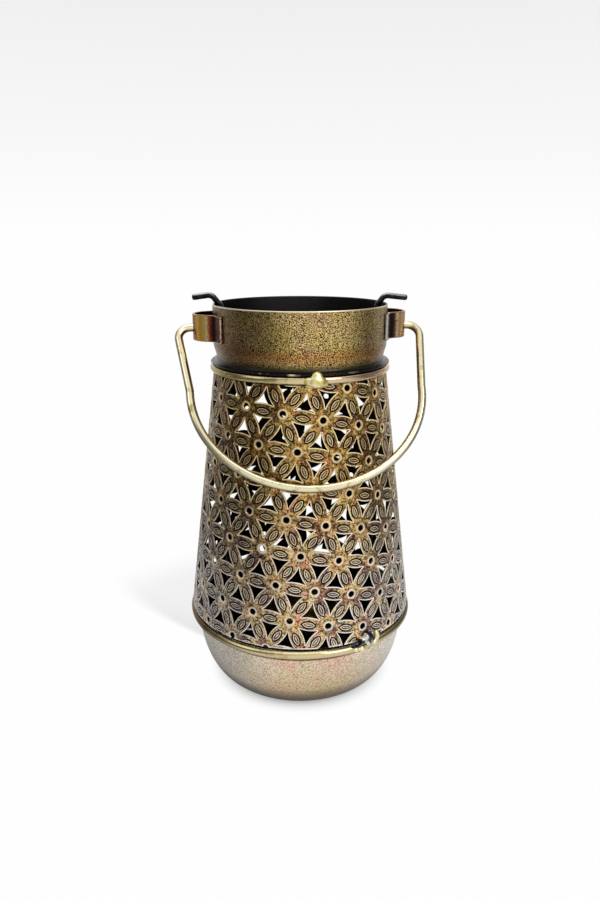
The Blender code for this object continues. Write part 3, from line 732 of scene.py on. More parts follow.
dull = add_node(
    sheet_bronze, "Math", {"operation": "MAXIMUM"}, {0: line.outputs["Green"], 1: lines.outputs["Alpha"]},
)
matt = add_node(sheet_bronze, "MapRange", {"To": (0.3, 0.6)}, {"Value": dull})
link(sheet_bronze, shader, {"Metallic": waxed, "Roughness": matt})
finish_piece(pierced_sheet, sheet_bronze, "lantern", ["pierced_body"], sharp=30.0)

# Braze: filler metal that closes the rings and ties them to the sheet. A smooth bright lump has
# run down from the upper ring at the front, and a burnt, beaded one sits on the lower ring.
UPPER_BRAZE_AZIMUTH = math.radians(3.5)
LOWER_BRAZE_AZIMUTH = math.radians(26.0)
BRAZE_VOXEL = 0.3 * MM
BRAZE_SOFTENING = 0.6
BRAZE_ROUNDS = 20
DROP_SEGMENTS = 24
DROP_RINGS = 16
BRAZE_SKIN = 3.0 * MM
BURNT_SCALE = 3.6 * MM
BRAZE_DULL = "d0b868"
BRAZE_BRASS = "efe0a0"
BRAZE_PALE = "faf3cc"
OXIDE_BLACK = "16171c"
OXIDE_BLUE = "54565e"
OXIDE_HIGHLIGHT = "e0dcd0"
# drops of each lump in mm: place along the ring, outwards and up, and half sizes in the same order
UPPER_DROPS = (
    (0.0, 1.3, -0.4, 4.4, 2.6, 3.2),
    (0.0, 0.9, 1.6, 3.0, 2.0, 2.9),
    (-3.6, 1.0, -0.1, 2.9, 1.8, 2.1),
    (2.6, 1.0, -0.8, 3.0, 1.9, 2.4),
)
LOWER_BRIGHT_DROPS = (
    (7.0, 1.0, 3.6, 1.9, 1.7, 3.2),
    (5.6, 1.4, 0.8, 2.1, 1.6, 1.8),
    (-2.4, 1.5, -0.2, 2.2, 1.5, 1.6),
    (-5.6, 1.2, -0.1, 1.9, 1.4, 1.4),
)
LOWER_BURNT_DROPS = (
    (1.0, 1.1, 5.2, 3.0, 2.0, 2.2),
    (-2.0, 1.2, 3.6, 2.6, 1.9, 1.9),
    (4.2, 1.1, 4.0, 1.9, 1.8, 3.0),
    (-5.2, 1.0, 2.4, 2.3, 1.6, 1.5),
    (1.6, 1.5, 1.4, 1.9, 1.6, 1.7),
)


def modify(piece, kind, settings):
    """Applies one modifier, with its settings, to the active piece."""
    modifier = piece.modifiers.new(kind, kind)
    for name, value in settings.items():
        setattr(modifier, name, value)
    bpy.ops.object.modifier_apply(modifier=modifier.name)


def braze(name, azimuth, radius, height, drops):
    """Melts drops into one lump on a ring."""
    parts = []
    for drop in drops:
        along, out, up, half_width, half_depth, half_height = [size * MM for size in drop]
        angle = azimuth + along / radius
        place = ((radius + out) * math.sin(angle), -(radius + out) * math.cos(angle), height + up)
        bpy.ops.mesh.primitive_uv_sphere_add(
            segments=DROP_SEGMENTS, ring_count=DROP_RINGS, radius=1.0, location=place,
            rotation=(0.0, 0.0, angle), scale=(half_width, half_depth, half_height),
        )
        parts.append(bpy.context.object)
    pick(*parts)
    bpy.ops.object.join()
    bpy.ops.object.transform_apply(location=True, rotation=True, scale=True)
    lump = parts[0]
    lump.name = name
    modify(lump, "REMESH", {"mode": "VOXEL", "voxel_size": BRAZE_VOXEL})
    modify(lump, "SMOOTH", {"factor": BRAZE_SOFTENING, "iterations": BRAZE_ROUNDS})
    return lump


# bright braze: filler that cooled to a satin skin, pale yellow and duller in the hollows
braze_brass, shader, place = start_metal("bright_braze", 0.4)
skins = [(0.3, BRAZE_DULL), (0.46, BRAZE_BRASS), (0.66, BRAZE_PALE)]
skin, skinned = patchwork(braze_brass, place, BRAZE_SKIN, 4.0, skins)
give_surface(braze_brass, shader, skinned, skin, strength=0.3, depth=0.4 * MM)
upper_braze = braze("upper_braze", UPPER_BRAZE_AZIMUTH, top_radius, upper_height, UPPER_DROPS)
finish_piece(upper_braze, braze_brass, "lantern", [], sharp=60.0)
lower_bead = braze("lower_bead", LOWER_BRAZE_AZIMUTH, bottom_radius, lower_height, LOWER_BRIGHT_DROPS)
finish_piece(lower_bead, braze_brass, "lantern", [], sharp=60.0)

# burnt braze: black with oxide, glossy like tar, with bluish grey patches and pale spots of painted highlight
braze_burnt, shader, place = start_metal("burnt_braze", 0.12)
oxides_and_highlight = [(0.42, OXIDE_BLACK), (0.56, OXIDE_BLUE), (0.7, OXIDE_HIGHLIGHT)]
scale, scaled = patchwork(braze_burnt, place, BURNT_SCALE, 1.0, oxides_and_highlight)
give_surface(braze_burnt, shader, scaled, scale, strength=0.1, depth=0.3 * MM)
lower_braze = braze("lower_braze", LOWER_BRAZE_AZIMUTH, bottom_radius, lower_height, LOWER_BURNT_DROPS)
finish_piece(lower_braze, braze_burnt, "lantern", [], sharp=60.0)

# Collar: a short neck spun from brass sheet, drawn in to a waist and flared to a small flange
# that stands on the upper ring. Antique brass with a hammered pebble outside, burnt black in the
# waist by the torch, browned with painted shade towards both sides, and sooty and darkened with
# painted shade inside, with the cut edge of the rim left bright and painted glints on the flange's edge.
SHEET = 1.0 * MM
COLLAR_STRAIGHT = 19.0 * MM
WAIST_DEPTH = 1.4 * MM
WAIST_STEPS = 10
FLANGE_LIP = 1.6 * MM
RIM_ROUND = 0.3 * MM
RIM_STEPS = 3
RIM_LINE = 0.45 * MM
WAIST_RISE = 3.0 * MM
COVE = 1.6 * MM
COVE_STEPS = 6
FOOT_REACH = 0.64 * MM
FOOT_DROP = 0.55 * MM
rim_radius = top_radius
rim_height = collar_high.z
waist_radius = rim_radius - WAIST_DEPTH
flange_radius = rim_radius + FLANGE_LIP
flange_high = collar_low.z + SHEET
waist_height = collar_low.z + WAIST_RISE
neck_low = rim_height - COLLAR_STRAIGHT


def neck_drawn_in(height):
    """How far the neck is drawn in at a height: not at all when straight, and most at the waist."""
    share = min(1.0, max(0.0, (neck_low - height) / (neck_low - waist_height)))
    return WAIST_DEPTH * (0.5 - 0.5 * math.cos(math.pi * share))


neck = []
for step in range(WAIST_STEPS + 1):
    height = neck_low + (waist_height - neck_low) * step / WAIST_STEPS
    neck.append((rim_radius - neck_drawn_in(height), 0.0, height))
outside = arc((rim_radius - RIM_ROUND, rim_height - RIM_ROUND), RIM_ROUND, RIM_ROUND, 90, 0, RIM_STEPS)
for drop in (RIM_LINE, RIM_LINE + RIM_ROUND):
    outside.append((rim_radius, 0.0, rim_height - drop))
outside += neck
cove_middle = (waist_radius + COVE, waist_height)
outside += arc(cove_middle, COVE, waist_height - flange_high, 180, 270, COVE_STEPS)[1:]
flange_middle = (flange_radius - SHEET / 2, collar_low.z + SHEET / 2)
outside += arc(flange_middle, SHEET / 2, SHEET / 2, 90, -90, COVE_STEPS)
inside = [
    (waist_radius + FOOT_REACH, 0.0, collar_low.z - FOOT_DROP),
    (waist_radius - SHEET, 0.0, collar_low.z + COVE),
]
inside += [(radius - SHEET, 0.0, height) for radius, middle, height in neck[::-1]]
inside.append((rim_radius - SHEET, 0.0, rim_height - RIM_ROUND))
inside.append((rim_radius - SHEET + RIM_ROUND, 0.0, rim_height))
collar = draw_line("collar_neck", outside + inside + outside[:1])
turn_on_lathe(LATHE_STEPS)


def bare_rim_and_flange_glint(place):
    """How bare the brass is all along the rim, and where painted glints lie here and there on the edge of the
    flange.
    """
    radius = math.hypot(place.x, place.y)
    if place.z > rim_height - RIM_LINE - NEAR and radius > rim_radius - 1.1 * RIM_ROUND:
        return 1.0
    if radius > flange_radius - 0.3 * SHEET:
        return 0.5
    return 0.0


def in_collar(place):
    """1 for a point on the inner face or the inner edge of the rim, and 0 outside."""
    wall = rim_radius - 0.6 * SHEET - neck_drawn_in(place.z)
    return 1.0 if math.hypot(place.x, place.y) < wall else 0.0


mark(collar, "soot", in_collar)
mark(collar, "bright", bare_rim_and_flange_glint)

# pebbled antique brass: satin gold, clouded with rose and olive, under dark wax that lies in the
# pebble as fine specks; an orange band low on the neck, and painted shade, browner, away from its
# most lit strip; pale bare brass on the rim, and painted glints on the flange's edge
COLLAR_ROSE = "eabe8a"
COLLAR_GOLD = "fedc90"
COLLAR_OLIVE = "ecd07a"
COLLAR_ORANGE = "dc8c3e"
COLLAR_SPECK = "140b04"
COLLAR_SIDE_SHADE = "5c3c18"
COLLAR_BARE_AND_GLINT = "f6e8c4"
COLLAR_BURNT = "0b0a0a"
COLLAR_SOOT_AND_SHADE = "3c3a3a"
COLLAR_PEBBLE = 0.4 * MM
COLLAR_CLOUD = 16.0 * MM
COLLAR_LIT_STRIP = 8.0 * MM
COLLAR_BAND = 8.0 * MM
COLLAR_BAND_WIDTH = 5.0 * MM
COLLAR_SHADE_WIDTHS = (12.0 * MM, 44.0 * MM)
# heights above the collar's foot where the burnt black ends, and how ragged the pebble makes its edge
BURNT_RISES = (1.2 * MM, 4.6 * MM)
BURNT_RAGGED = 9.0 * MM
collar_brass, shader, place = start_metal("pebbled_antique_brass", 0.34, 0.25)
where = add_node(collar_brass, "SeparateXYZ", {}, {"Vector": place})
soot = add_node(collar_brass, "Attribute", {"attribute_name": "soot"})
bright = add_node(collar_brass, "Attribute", {"attribute_name": "bright"})
pebble = add_node(collar_brass, "TexNoise", {"Scale": 1 / COLLAR_PEBBLE, "Detail": 2.0}, {"Vector": place})
clouds = [(0.38, COLLAR_ROSE), (0.5, COLLAR_GOLD), (0.62, COLLAR_OLIVE)]
cloud, clouded = patchwork(collar_brass, place, COLLAR_CLOUD, 3.0, clouds)
off_band, off_lit_strip = [
    add_node(collar_brass, "Math", {"operation": "ABSOLUTE"}, {
        0: add_node(collar_brass, "Math", {"operation": "SUBTRACT", 1: middle}, {0: where.outputs[axis]}),
    })
    for axis, middle in (("Z", collar_low.z + COLLAR_BAND), ("X", COLLAR_LIT_STRIP))
]
ragged = add_node(
    collar_brass, "Math", {"operation": "MULTIPLY_ADD", 1: BURNT_RAGGED, 2: -BURNT_RAGGED / 2}, {0: pebble},
)
level = add_node(collar_brass, "Math", {"operation": "SUBTRACT"}, {0: where.outputs["Z"], 1: ragged})
# painted glints: a few places on the edge of the flange
flange_glint = add_node(collar_brass, "MapRange", {"From": (0.6, 0.7), "To": (-1.0, 0.0)}, {"Value": cloud})
bare_and_glint = add_node(
    collar_brass, "Math", {"operation": "MULTIPLY_ADD", 1: 2.0, "use_clamp": True},
    {0: bright.outputs["Fac"], 2: flange_glint},
)
shaded_and_torched = lay_over(collar_brass, clouded, [
    (COLLAR_ORANGE, off_band, (0.0, COLLAR_BAND_WIDTH), (0.7, 0.0)),
    # painted shade towards both sides
    (COLLAR_SIDE_SHADE, off_lit_strip, COLLAR_SHADE_WIDTHS, (0.0, 0.65)),
    (COLLAR_SPECK, pebble, (0.47, 0.55), (1.0, 0.0)),
    (COLLAR_BURNT, level, [collar_low.z + rise for rise in BURNT_RISES], (1.0, 0.0)),
    # soot inside, darkened with painted shade
    (COLLAR_SOOT_AND_SHADE, soot.outputs["Fac"], WHOLE, WHOLE),
    # bare brass on the rim, and painted glints on the flange's edge
    (COLLAR_BARE_AND_GLINT, bare_and_glint, WHOLE, WHOLE),
])
give_surface(collar_brass, shader, shaded_and_torched, pebble, strength=0.45, depth=0.15 * MM)
finish_piece(collar, collar_brass, "lantern", ["collar"])

# Ears: strips of copper-coloured brass bent to a loop, with a tab at each end brazed flat to the
# collar, and a hole for the bail. Bands of gold, red and black run across them: the tint that the
# torch left, and painted reflections with a pale painted highlight.
EAR_SHEET = 1.2 * MM
EAR_FOOT_ANGLE = math.radians(14.5)
EAR_TAB_ANGLE = math.radians(27.0)
EAR_BEND_ANGLE = 0.03
EAR_BEND_STEPS = 6
EAR_LOOP_STEPS = 18
EAR_LOOP_START = 3
EAR_EDGE = 0.2 * MM
EAR_EDGE_STEPS = 2
EAR_EDGE_ANGLE = math.radians(50.0)
EAR_LINE = 0.5 * MM
EAR_TRIM = 0.35 * MM
EAR_GRIT = 0.8 * MM
EAR_RAGGED = 0.09
EAR_WORN = "b8946a"
LEFT_EAR_RAISE = 0.7 * MM
RIGHT_EAR_RAISE = 1.2 * MM
HOLE_PLAY = 0.3 * MM
DRILL_LENGTH = 7.2 * MM
DRILL_SIDES = 32
# places along the strip, from its tab behind to its tab in front, and the colours there: torch tint
# and painted reflection
LEFT_TINT_AND_REFLECTION = [
    (0.0, "f0d8a0"), (0.03, "2a1612"), (0.4, "3a201a"), (0.5, "5a2a22"), (0.59, "6a3826"),
    (0.63, "c8923a"), (0.68, "ffc858"), (0.74, "ffe88c"), (0.76, "ffd09c"), (0.775, "d87c58"),
    (0.8, "984438"), (0.825, "4c2422"), (0.86, "341a1a"), (0.96, "44241f"), (0.99, "341814"),
    (1.0, "d8b8a4"),
]
RIGHT_TINT_AND_REFLECTION = [
    (0.0, "d8c4a0"), (0.04, "a09888"), (0.16, "3a302a"), (0.3, "6a4a30"), (0.5, "7a5830"),
    (0.57, "b88c50"), (0.63, "8a6a3c"), (0.68, "e0b478"), (0.73, "ffd8a8"), (0.76, "6a4a34"),
    (0.79, "2c2422"), (0.87, "242222"), (0.9, "a8a69e"), (0.93, "3a3838"), (0.965, "9a9892"),
    (1.0, "c8c6c0"),
]
ear_low, ear_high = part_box("ear_right")
ear_reach = ear_high.x
pivot_height = (ear_low.z + ear_high.z) / 2


def ear_path():
    """The strip seen from above, for the ear on the +X side: tab, loop, tab."""
    tab_radius = rim_radius + SEAT_GAP + EAR_SHEET / 2
    foot = Vector((tab_radius * math.cos(EAR_FOOT_ANGLE), tab_radius * math.sin(EAR_FOOT_ANGLE), 0.0))
    bulge = ear_reach - EAR_SHEET / 2 - foot.x
    half = []
    for step in range(EAR_BEND_STEPS + 1):
        angle = EAR_TAB_ANGLE + (EAR_FOOT_ANGLE + EAR_BEND_ANGLE - EAR_TAB_ANGLE) * step / EAR_BEND_STEPS
        half.append(Vector((tab_radius * math.cos(angle), tab_radius * math.sin(angle), 0.0)))
    for step in range(EAR_LOOP_START, EAR_LOOP_STEPS + 1):
        angle = 0.5 * math.pi * step / EAR_LOOP_STEPS
        half.append(Vector((foot.x + bulge * math.sin(angle), foot.y * math.cos(angle), 0.0)))
    return half + [Vector((point.x, -point.y, 0.0)) for point in half[-2::-1]]


def bent_ear(name, side, raised):
    """Draws the strip's edge, raises it, gives it thickness and round edges, and drills it."""
    path = [Vector((side * point.x, point.y, 0.0)) for point in ear_path()]
    low = ear_low.z + raised + EAR_TRIM
    high = ear_high.z + raised - EAR_TRIM
    lengths = [0.0]
    for last, point in zip(path, path[1:]):
        lengths.append(lengths[-1] + (point - last).length)
    ear = draw_line(name, [Vector((point.x, point.y, low)) for point in path])
    bpy.ops.mesh.select_all(action="SELECT")
    for rise in (EAR_LINE, high - low - 2 * EAR_LINE, EAR_LINE):
        bpy.ops.mesh.extrude_edges_move(TRANSFORM_OT_translate={"value": (0.0, 0.0, rise)})
    bpy.ops.mesh.select_all(action="SELECT")
    bpy.ops.mesh.normals_make_consistent(inside=False)
    bpy.ops.object.mode_set(mode="OBJECT")
    modify(ear, "SOLIDIFY", {"thickness": EAR_SHEET, "offset": 0.0, "use_even_offset": True})
    modify(ear, "BEVEL", {
        "width": EAR_EDGE, "segments": EAR_EDGE_STEPS, "limit_method": "ANGLE", "angle_limit": EAR_EDGE_ANGLE,
    })
    bpy.ops.mesh.primitive_cylinder_add(
        vertices=DRILL_SIDES, radius=WIRE / 2 + HOLE_PLAY, depth=DRILL_LENGTH,
        location=(side * ear_reach, 0.0, pivot_height), rotation=(0.0, math.pi / 2, 0.0),
    )
    drill = bpy.context.object
    bpy.context.view_layer.objects.active = ear
    modify(ear, "BOOLEAN", {"operation": "DIFFERENCE", "object": drill})
    bpy.data.objects.remove(drill)

    def along(place):
        above = Vector((place.x, place.y, 0.0))
        near = min(range(len(path)), key=lambda step: (path[step] - above).length)
        return lengths[near] / lengths[-1]

    def edge(place):
        return 1.0 if min(place.z - low, high - place.z) < EAR_EDGE + NEAR else 0.0

    mark(ear, "along", along)
    mark(ear, "edge", edge)
    return ear


def banded_copper(name, bands):
    """Copper-coloured brass: half polished, with ragged bands of torch tint and painted reflection."""
    copper, shader, place = start_metal(name, 0.26)
    along = add_node(copper, "Attribute", {"attribute_name": "along"})
    edge = add_node(copper, "Attribute", {"attribute_name": "edge"})
    grit = add_node(copper, "TexNoise", {"Scale": 1 / EAR_GRIT, "Detail": 2.0}, {"Vector": place})
    ragged = add_node(
        copper, "Math", {"operation": "MULTIPLY_ADD", 1: EAR_RAGGED, 2: -EAR_RAGGED / 2}, {0: grit},
    )
    spot = add_node(copper, "Math", {"operation": "ADD"}, {0: along.outputs["Fac"], 1: ragged})
    # the bands are torch tint and painted reflection, with a pale painted highlight
    banded = add_node(copper, "ValToRGB", {"stops": bands}, {"Fac": spot})
    edged = lay_over(copper, banded, [(EAR_WORN, edge.outputs["Fac"], WHOLE, WHOLE)])
    give_surface(copper, shader, edged, grit, strength=0.2, depth=0.1 * MM)
    return copper


left_copper = banded_copper("copper_tint_and_reflection_left", LEFT_TINT_AND_REFLECTION)
left_ear = bent_ear("left_ear", -1.0, LEFT_EAR_RAISE)
finish_piece(left_ear, left_copper, "lantern", ["ear_left"])
right_copper = banded_copper("copper_tint_and_reflection_right", RIGHT_TINT_AND_REFLECTION)
right_ear = bent_ear("right_ear", 1.0, RIGHT_EAR_RAISE)
finish_piece(right_ear, right_copper, "lantern", ["ear_right"])

# Bail: the carrying handle, one round brass wire bent by hand, with each end put through an ear
# and peened over inside it. It hangs forward against the sheet. Polished pale by handling.
BAIL_DROP = 86.9 * MM
BAIL_STRAIGHT = 35.0 * MM
BAIL_OVERHANG = 8.1 * MM
BAIL_TAPER = 4.7 * MM
BAIL_SWAY = 1.4 * MM
BAIL_CLEAR = 0.22 * MM
BAIL_BEND = 6.0 * MM
LIMB_STEPS = 13
GRIP_STEPS = 32
BEND_STEPS = 10
WIRE_SIDES = 6
HEAD_PLAY = 0.7 * MM
# steps out along the wire from the inner face of its peened head, and the share of its width there
PEENED_HEAD = ((-1.2 * MM, 1.3), (-0.96 * MM, 1.6), (-0.24 * MM, 1.6), (0.0, 1.3), (0.2 * MM, 1.0))
bail_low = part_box("bail_handle")[0]
shoulder = ear_reach + BAIL_OVERHANG
waist = shoulder - BAIL_TAPER
bail_tilt = math.atan2(BAIL_CLEAR - bail_low.y - WIRE / 2, pivot_height - bail_low.z - WIRE / 2)


def bent_path(corners, bends):
    """A line whose corners are rounded to the given bends."""
    path = [Vector(corners[0])]
    for index, bend in enumerate(bends, 1):
        corner = Vector(corners[index])
        to_last = (Vector(corners[index - 1]) - corner).normalized()
        to_next = (Vector(corners[index + 1]) - corner).normalized()
        half = to_last.angle(to_next) / 2
        centre = corner + (to_last + to_next).normalized() * (bend / math.sin(half))
        start = corner + to_last * (bend / math.tan(half)) - centre
        end = corner + to_next * (bend / math.tan(half)) - centre
        for step in range(BEND_STEPS + 1):
            path.append(centre + start.slerp(end, step / BEND_STEPS).normalized() * bend)
    path.append(Vector(corners[-1]))
    return path


def bent_wire(name, path, diameter, scales):
    """Draws the wire's middle line, makes it a curve with a round section, and makes that a mesh."""
    draw_line(name, path)
    bpy.ops.object.mode_set(mode="OBJECT")
    bpy.ops.object.convert(target="CURVE")
    curve = bpy.context.object.data
    curve.bevel_depth = diameter / 2
    curve.bevel_resolution = WIRE_SIDES
    curve.use_fill_caps = True
    points = curve.splines[0].points
    if (points[0].co.to_3d() - path[0]).length > NEAR:
        scales = scales[::-1]
    for point, scale in zip(points, scales):
        point.radius = scale
    bpy.ops.object.convert(target="MESH")
    bpy.ops.object.mode_set(mode="EDIT")
    weld(NEAR)
    bpy.ops.object.mode_set(mode="OBJECT")
    return bpy.context.object


# half the bail, flat, from its peened head to the middle of the grip: out from the axis, and down
head = ear_reach - EAR_SHEET - HEAD_PLAY
half = [Vector((head + step, 0.0, 0.0)) for step, scale in PEENED_HEAD]
half += bent_path([(head, 0.0, 0.0), (shoulder, 0.0, 0.0), (waist, BAIL_STRAIGHT, 0.0)], [BAIL_BEND])[1:]
bend_end, limb_end = half[-2:]
half[-1:] = [bend_end.lerp(limb_end, step / LIMB_STEPS) for step in range(1, LIMB_STEPS + 1)]
for step in range(1, GRIP_STEPS + 1):
    angle = 0.5 * math.pi * step / GRIP_STEPS
    drop = BAIL_STRAIGHT + (BAIL_DROP - BAIL_STRAIGHT) * math.sin(angle)
    half.append(Vector((waist * math.cos(angle), drop, 0.0)))
half_scales = [scale for step, scale in PEENED_HEAD]
half_scales += [1.0] * (len(half) - len(half_scales))
bail_line = []
for point in half + [Vector((-point.x, point.y, 0.0)) for point in half[-2::-1]]:
    swayed = point.x + BAIL_SWAY * min(1.0, point.y / BAIL_STRAIGHT)
    swung = Vector((swayed, -point.y * math.sin(bail_tilt), -point.y * math.cos(bail_tilt)))
    bail_line.append(swung + Vector((0.0, 0.0, pivot_height)))
bail = bent_wire("bail_wire", bail_line, WIRE, half_scales + half_scales[-2::-1])

# handled pale brass: polished where hands rub it, with thin brown streaks and, along the wire's
# inner and outer sides, a dull painted dark shade that outlines it
# how far out from the wire's middle its front and back stay clear of the painted edge shade, in shares of its
# radius
UNSHADED_FROM = 0.68
EDGE_SHADE_FADE = 0.25
BAIL_STREAKS = 5.0 * MM
BAIL_PALE = "f6ecc6"
BAIL_STREAK = "b39a60"
BAIL_EDGE_SHADE = "3c3418"


def wire_edge_side(place):
    """1 on the inner and outer sides of the bent wire, where the painted edge shade lies, and 0 on its faces.
    """
    middle = min(bail_line, key=lambda point: (point - place).length)
    front = Vector((0.0, -math.cos(bail_tilt), math.sin(bail_tilt)))
    facing = abs((place - middle).dot(front)) / (WIRE / 2)
    return min(1.0, max(0.0, (UNSHADED_FROM - facing) / EDGE_SHADE_FADE))


mark(bail, "tarnish", wire_edge_side)
bail_brass, shader, place = start_metal("handled_pale_brass", 0.14)
sides = add_node(bail_brass, "Attribute", {"attribute_name": "tarnish"})
streaks = [(0.28, BAIL_STREAK), (0.44, BAIL_PALE)]
streak, streaked = patchwork(bail_brass, place, BAIL_STREAKS, 5.0, streaks)
# painted dark shade along the wire's inner and outer sides
edge_shaded = lay_over(bail_brass, streaked, [(BAIL_EDGE_SHADE, sides.outputs["Fac"], WHOLE, (0.0, 0.85))])
give_surface(bail_brass, shader, edge_shaded, streak, strength=0.1, depth=0.2 * MM)
dull = add_node(bail_brass, "MapRange", {"To": (0.14, 0.45)}, {"Value": sides.outputs["Fac"]})
link(bail_brass, shader, {"Roughness": dull})
finish_piece(bail, bail_brass, "bail", ["bail_handle"])

# Hanger: one iron wire with a hook over the rim on each side and a stirrup below that carries
# the tea light cup. It lifts straight out. Blackened iron, oiled, with rounded ends,
# and a grey painted highlight along the top of the wire.
IRON_WIRE = 3.0 * MM
HOOK_LEAN = math.radians(52.0)
LEFT_HOOK_RISE = 4.45 * MM
RIGHT_HOOK_RISE = 3.4 * MM
LEFT_OVERHANG = 9.8 * MM
RIGHT_OVERHANG = 11.2 * MM
HOOK_DROOP = 1.3 * MM
HOOK_FOOT_BEND = 6.0 * MM
HOOK_TOP_BEND = 3.5 * MM
LEG_PLAY = 0.6 * MM
STIRRUP_BEND = 12.0 * MM
IRON_SCALE = 2.5 * MM
IRON_BLACK = "161618"
IRON_GREY = "323236"
IRON_TOP_HIGHLIGHT = "c4c4ca"
# steps in from a hook's rounded end, and the share of the wire's width there
ROUND_END = ((0.0, 0.35), (0.2 * MM, 0.72), (0.6 * MM, 0.93), (1.2 * MM, 1.0))
cup_low, cup_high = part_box("tea_light_cup")
leg_radius = waist_radius - SHEET - LEG_PLAY - IRON_WIRE / 2
lean = Vector((math.cos(HOOK_LEAN), 0.0, math.sin(HOOK_LEAN)))
off_rim = Vector((-math.sin(HOOK_LEAN), 0.0, math.cos(HOOK_LEAN))) * (IRON_WIRE / 2 + SEAT_GAP)
on_rim = Vector((rim_radius - SHEET, 0.0, rim_height)) + off_rim
knee = on_rim + lean * ((leg_radius - on_rim.x) / lean.x)
under_cup = cup_low.z - SEAT_GAP - IRON_WIRE / 2


def half_hanger(rise, overhang):
    """The wire on the +X side, from the rounded end of its hook to the middle of the stirrup."""
    crown = on_rim + lean * ((rim_height + rise - on_rim.z) / lean.z)
    tip = Vector((rim_radius + overhang, 0.0, rim_height + rise - HOOK_DROOP))
    corners = [tip, crown, knee, (leg_radius, 0.0, under_cup), (0.0, 0.0, under_cup)]
    half = bent_path(corners, [HOOK_TOP_BEND, HOOK_FOOT_BEND, STIRRUP_BEND])
    inward = (half[1] - half[0]).normalized()
    return [half[0] + inward * step for step, share in ROUND_END] + half[1:]


left_half = [Vector((-point.x, 0.0, point.z)) for point in half_hanger(LEFT_HOOK_RISE, LEFT_OVERHANG)]
hanger_line = half_hanger(RIGHT_HOOK_RISE, RIGHT_OVERHANG) + left_half[-2::-1]
end_scales = [share for step, share in ROUND_END]
hanger_scales = end_scales + [1.0] * (len(hanger_line) - 2 * len(end_scales)) + end_scales[::-1]
hanger = bent_wire("hanger_wire_iron", hanger_line, IRON_WIRE, hanger_scales)


def highlit_top(place):
    """1 along the top of the wire, where the grey highlight is painted, falling to 0 at its sides."""
    middle = min(hanger_line, key=lambda point: (point - place).length)
    return max(0.0, (place.z - middle.z) / (IRON_WIRE / 2))


mark(hanger, "rubbed", highlit_top)

# oiled black iron: dark and rather glossy, mottled by its scale, with a grey painted highlight along its top
hanger_iron, shader, place = start_metal("oiled_black_iron", 0.24)
rubbed = add_node(hanger_iron, "Attribute", {"attribute_name": "rubbed"})
scale, scaled = patchwork(hanger_iron, place, IRON_SCALE, 4.0, [(0.4, IRON_BLACK), (0.68, IRON_GREY)])
# painted highlight along the top of the wire
top_lit = lay_over(hanger_iron, scaled, [(IRON_TOP_HIGHLIGHT, rubbed.outputs["Fac"], (0.35, 0.95), (0.0, 0.9))])
give_surface(hanger_iron, shader, top_lit, scale, strength=0.25, depth=0.2 * MM)
finish_piece(hanger, hanger_iron, "hanger", ["hanger_wire"])

# Cup: a small pressed dish for one tea light, soldered on the stirrup. Plain brass sheet with a
# rolled rim, dulled by heat.
CUP_WALL = 0.8 * MM
CUP_FOOT_ROUND = 2.0 * MM
CUP_STEPS = 6
CUP_LATHE_STEPS = 96
CUP_STAIN = 7.0 * MM
CUP_BROWN = "4a3a20"
CUP_BRASS = "8d7340"
CUP_PALE = "a98c54"
foot_middle = (cup_high.x - CUP_FOOT_ROUND, cup_low.z + CUP_FOOT_ROUND)
rim_middle = (cup_high.x - CUP_WALL / 2, cup_high.z - CUP_WALL / 2)
inner_round = CUP_FOOT_ROUND - CUP_WALL
cup_profile = [(0.0, 0.0, cup_low.z)]
cup_profile += arc(foot_middle, CUP_FOOT_ROUND, CUP_FOOT_ROUND, -90, 0, CUP_STEPS)
cup_profile += arc(rim_middle, CUP_WALL / 2, CUP_WALL / 2, 0, 180, CUP_STEPS)
cup_profile += arc(foot_middle, inner_round, inner_round, 0, -90, CUP_STEPS)
cup_profile += [(0.0, 0.0, cup_low.z + CUP_WALL)]
cup = draw_line("tea_light_dish", cup_profile)
turn_on_lathe(CUP_LATHE_STEPS)

# heat-dulled brass: satin, browned and clouded by the flame
cup_brass, shader, place = start_metal("heat_dulled_brass", 0.42)
stains = [(0.35, CUP_BROWN), (0.55, CUP_BRASS), (0.7, CUP_PALE)]
stain, stained = patchwork(cup_brass, place, CUP_STAIN, 5.0, stains)
give_surface(cup_brass, shader, stained, stain, strength=0.2, depth=0.2 * MM)
finish_piece(cup, cup_brass, "hanger", ["tea_light_cup"])

# Studio: a white table in front of a white wall, in a room that is light in front, behind and
# above, and dim at both sides. Soft lamps stand round the table. The camera stands where the
# photograph was taken.
TABLE_SIZE = 8.0
TABLE_WHITE = "fbfafb"
TABLE_DARK = "000000"
BACKDROP_WHITE = "fefefe"
BACKDROP_TOP = "efefef"
BACKDROP_RISE = (0.0, 0.27)
AMBIENT = 0.7
ROOM_DIM = 0.24
# shares of a direction, towards the front, the wall and the ceiling, over which the room gets lighter
FRONT_HEADING = (0.25, -0.968, 0.0)
FRONT_LIGHTER = (0.3, 0.9)
WALL_LIGHTER = (0.35, 0.95)
CEILING_LIGHTER = (0.45, 0.85)
# metres on the table: the pool of light round the lantern, the light behind it, and its own shade
LIT_MIDDLE = (0.03, -0.02, 0.0)
LIT_REACH = (0.08, 0.42)
LIT_BEHIND = (0.1, 0.5)
SHADE_MIDDLE = (-0.09, 0.0, 0.0)
SHADE_REACH = (0.03, 0.1)
SHADE_DEPTH = 0.5
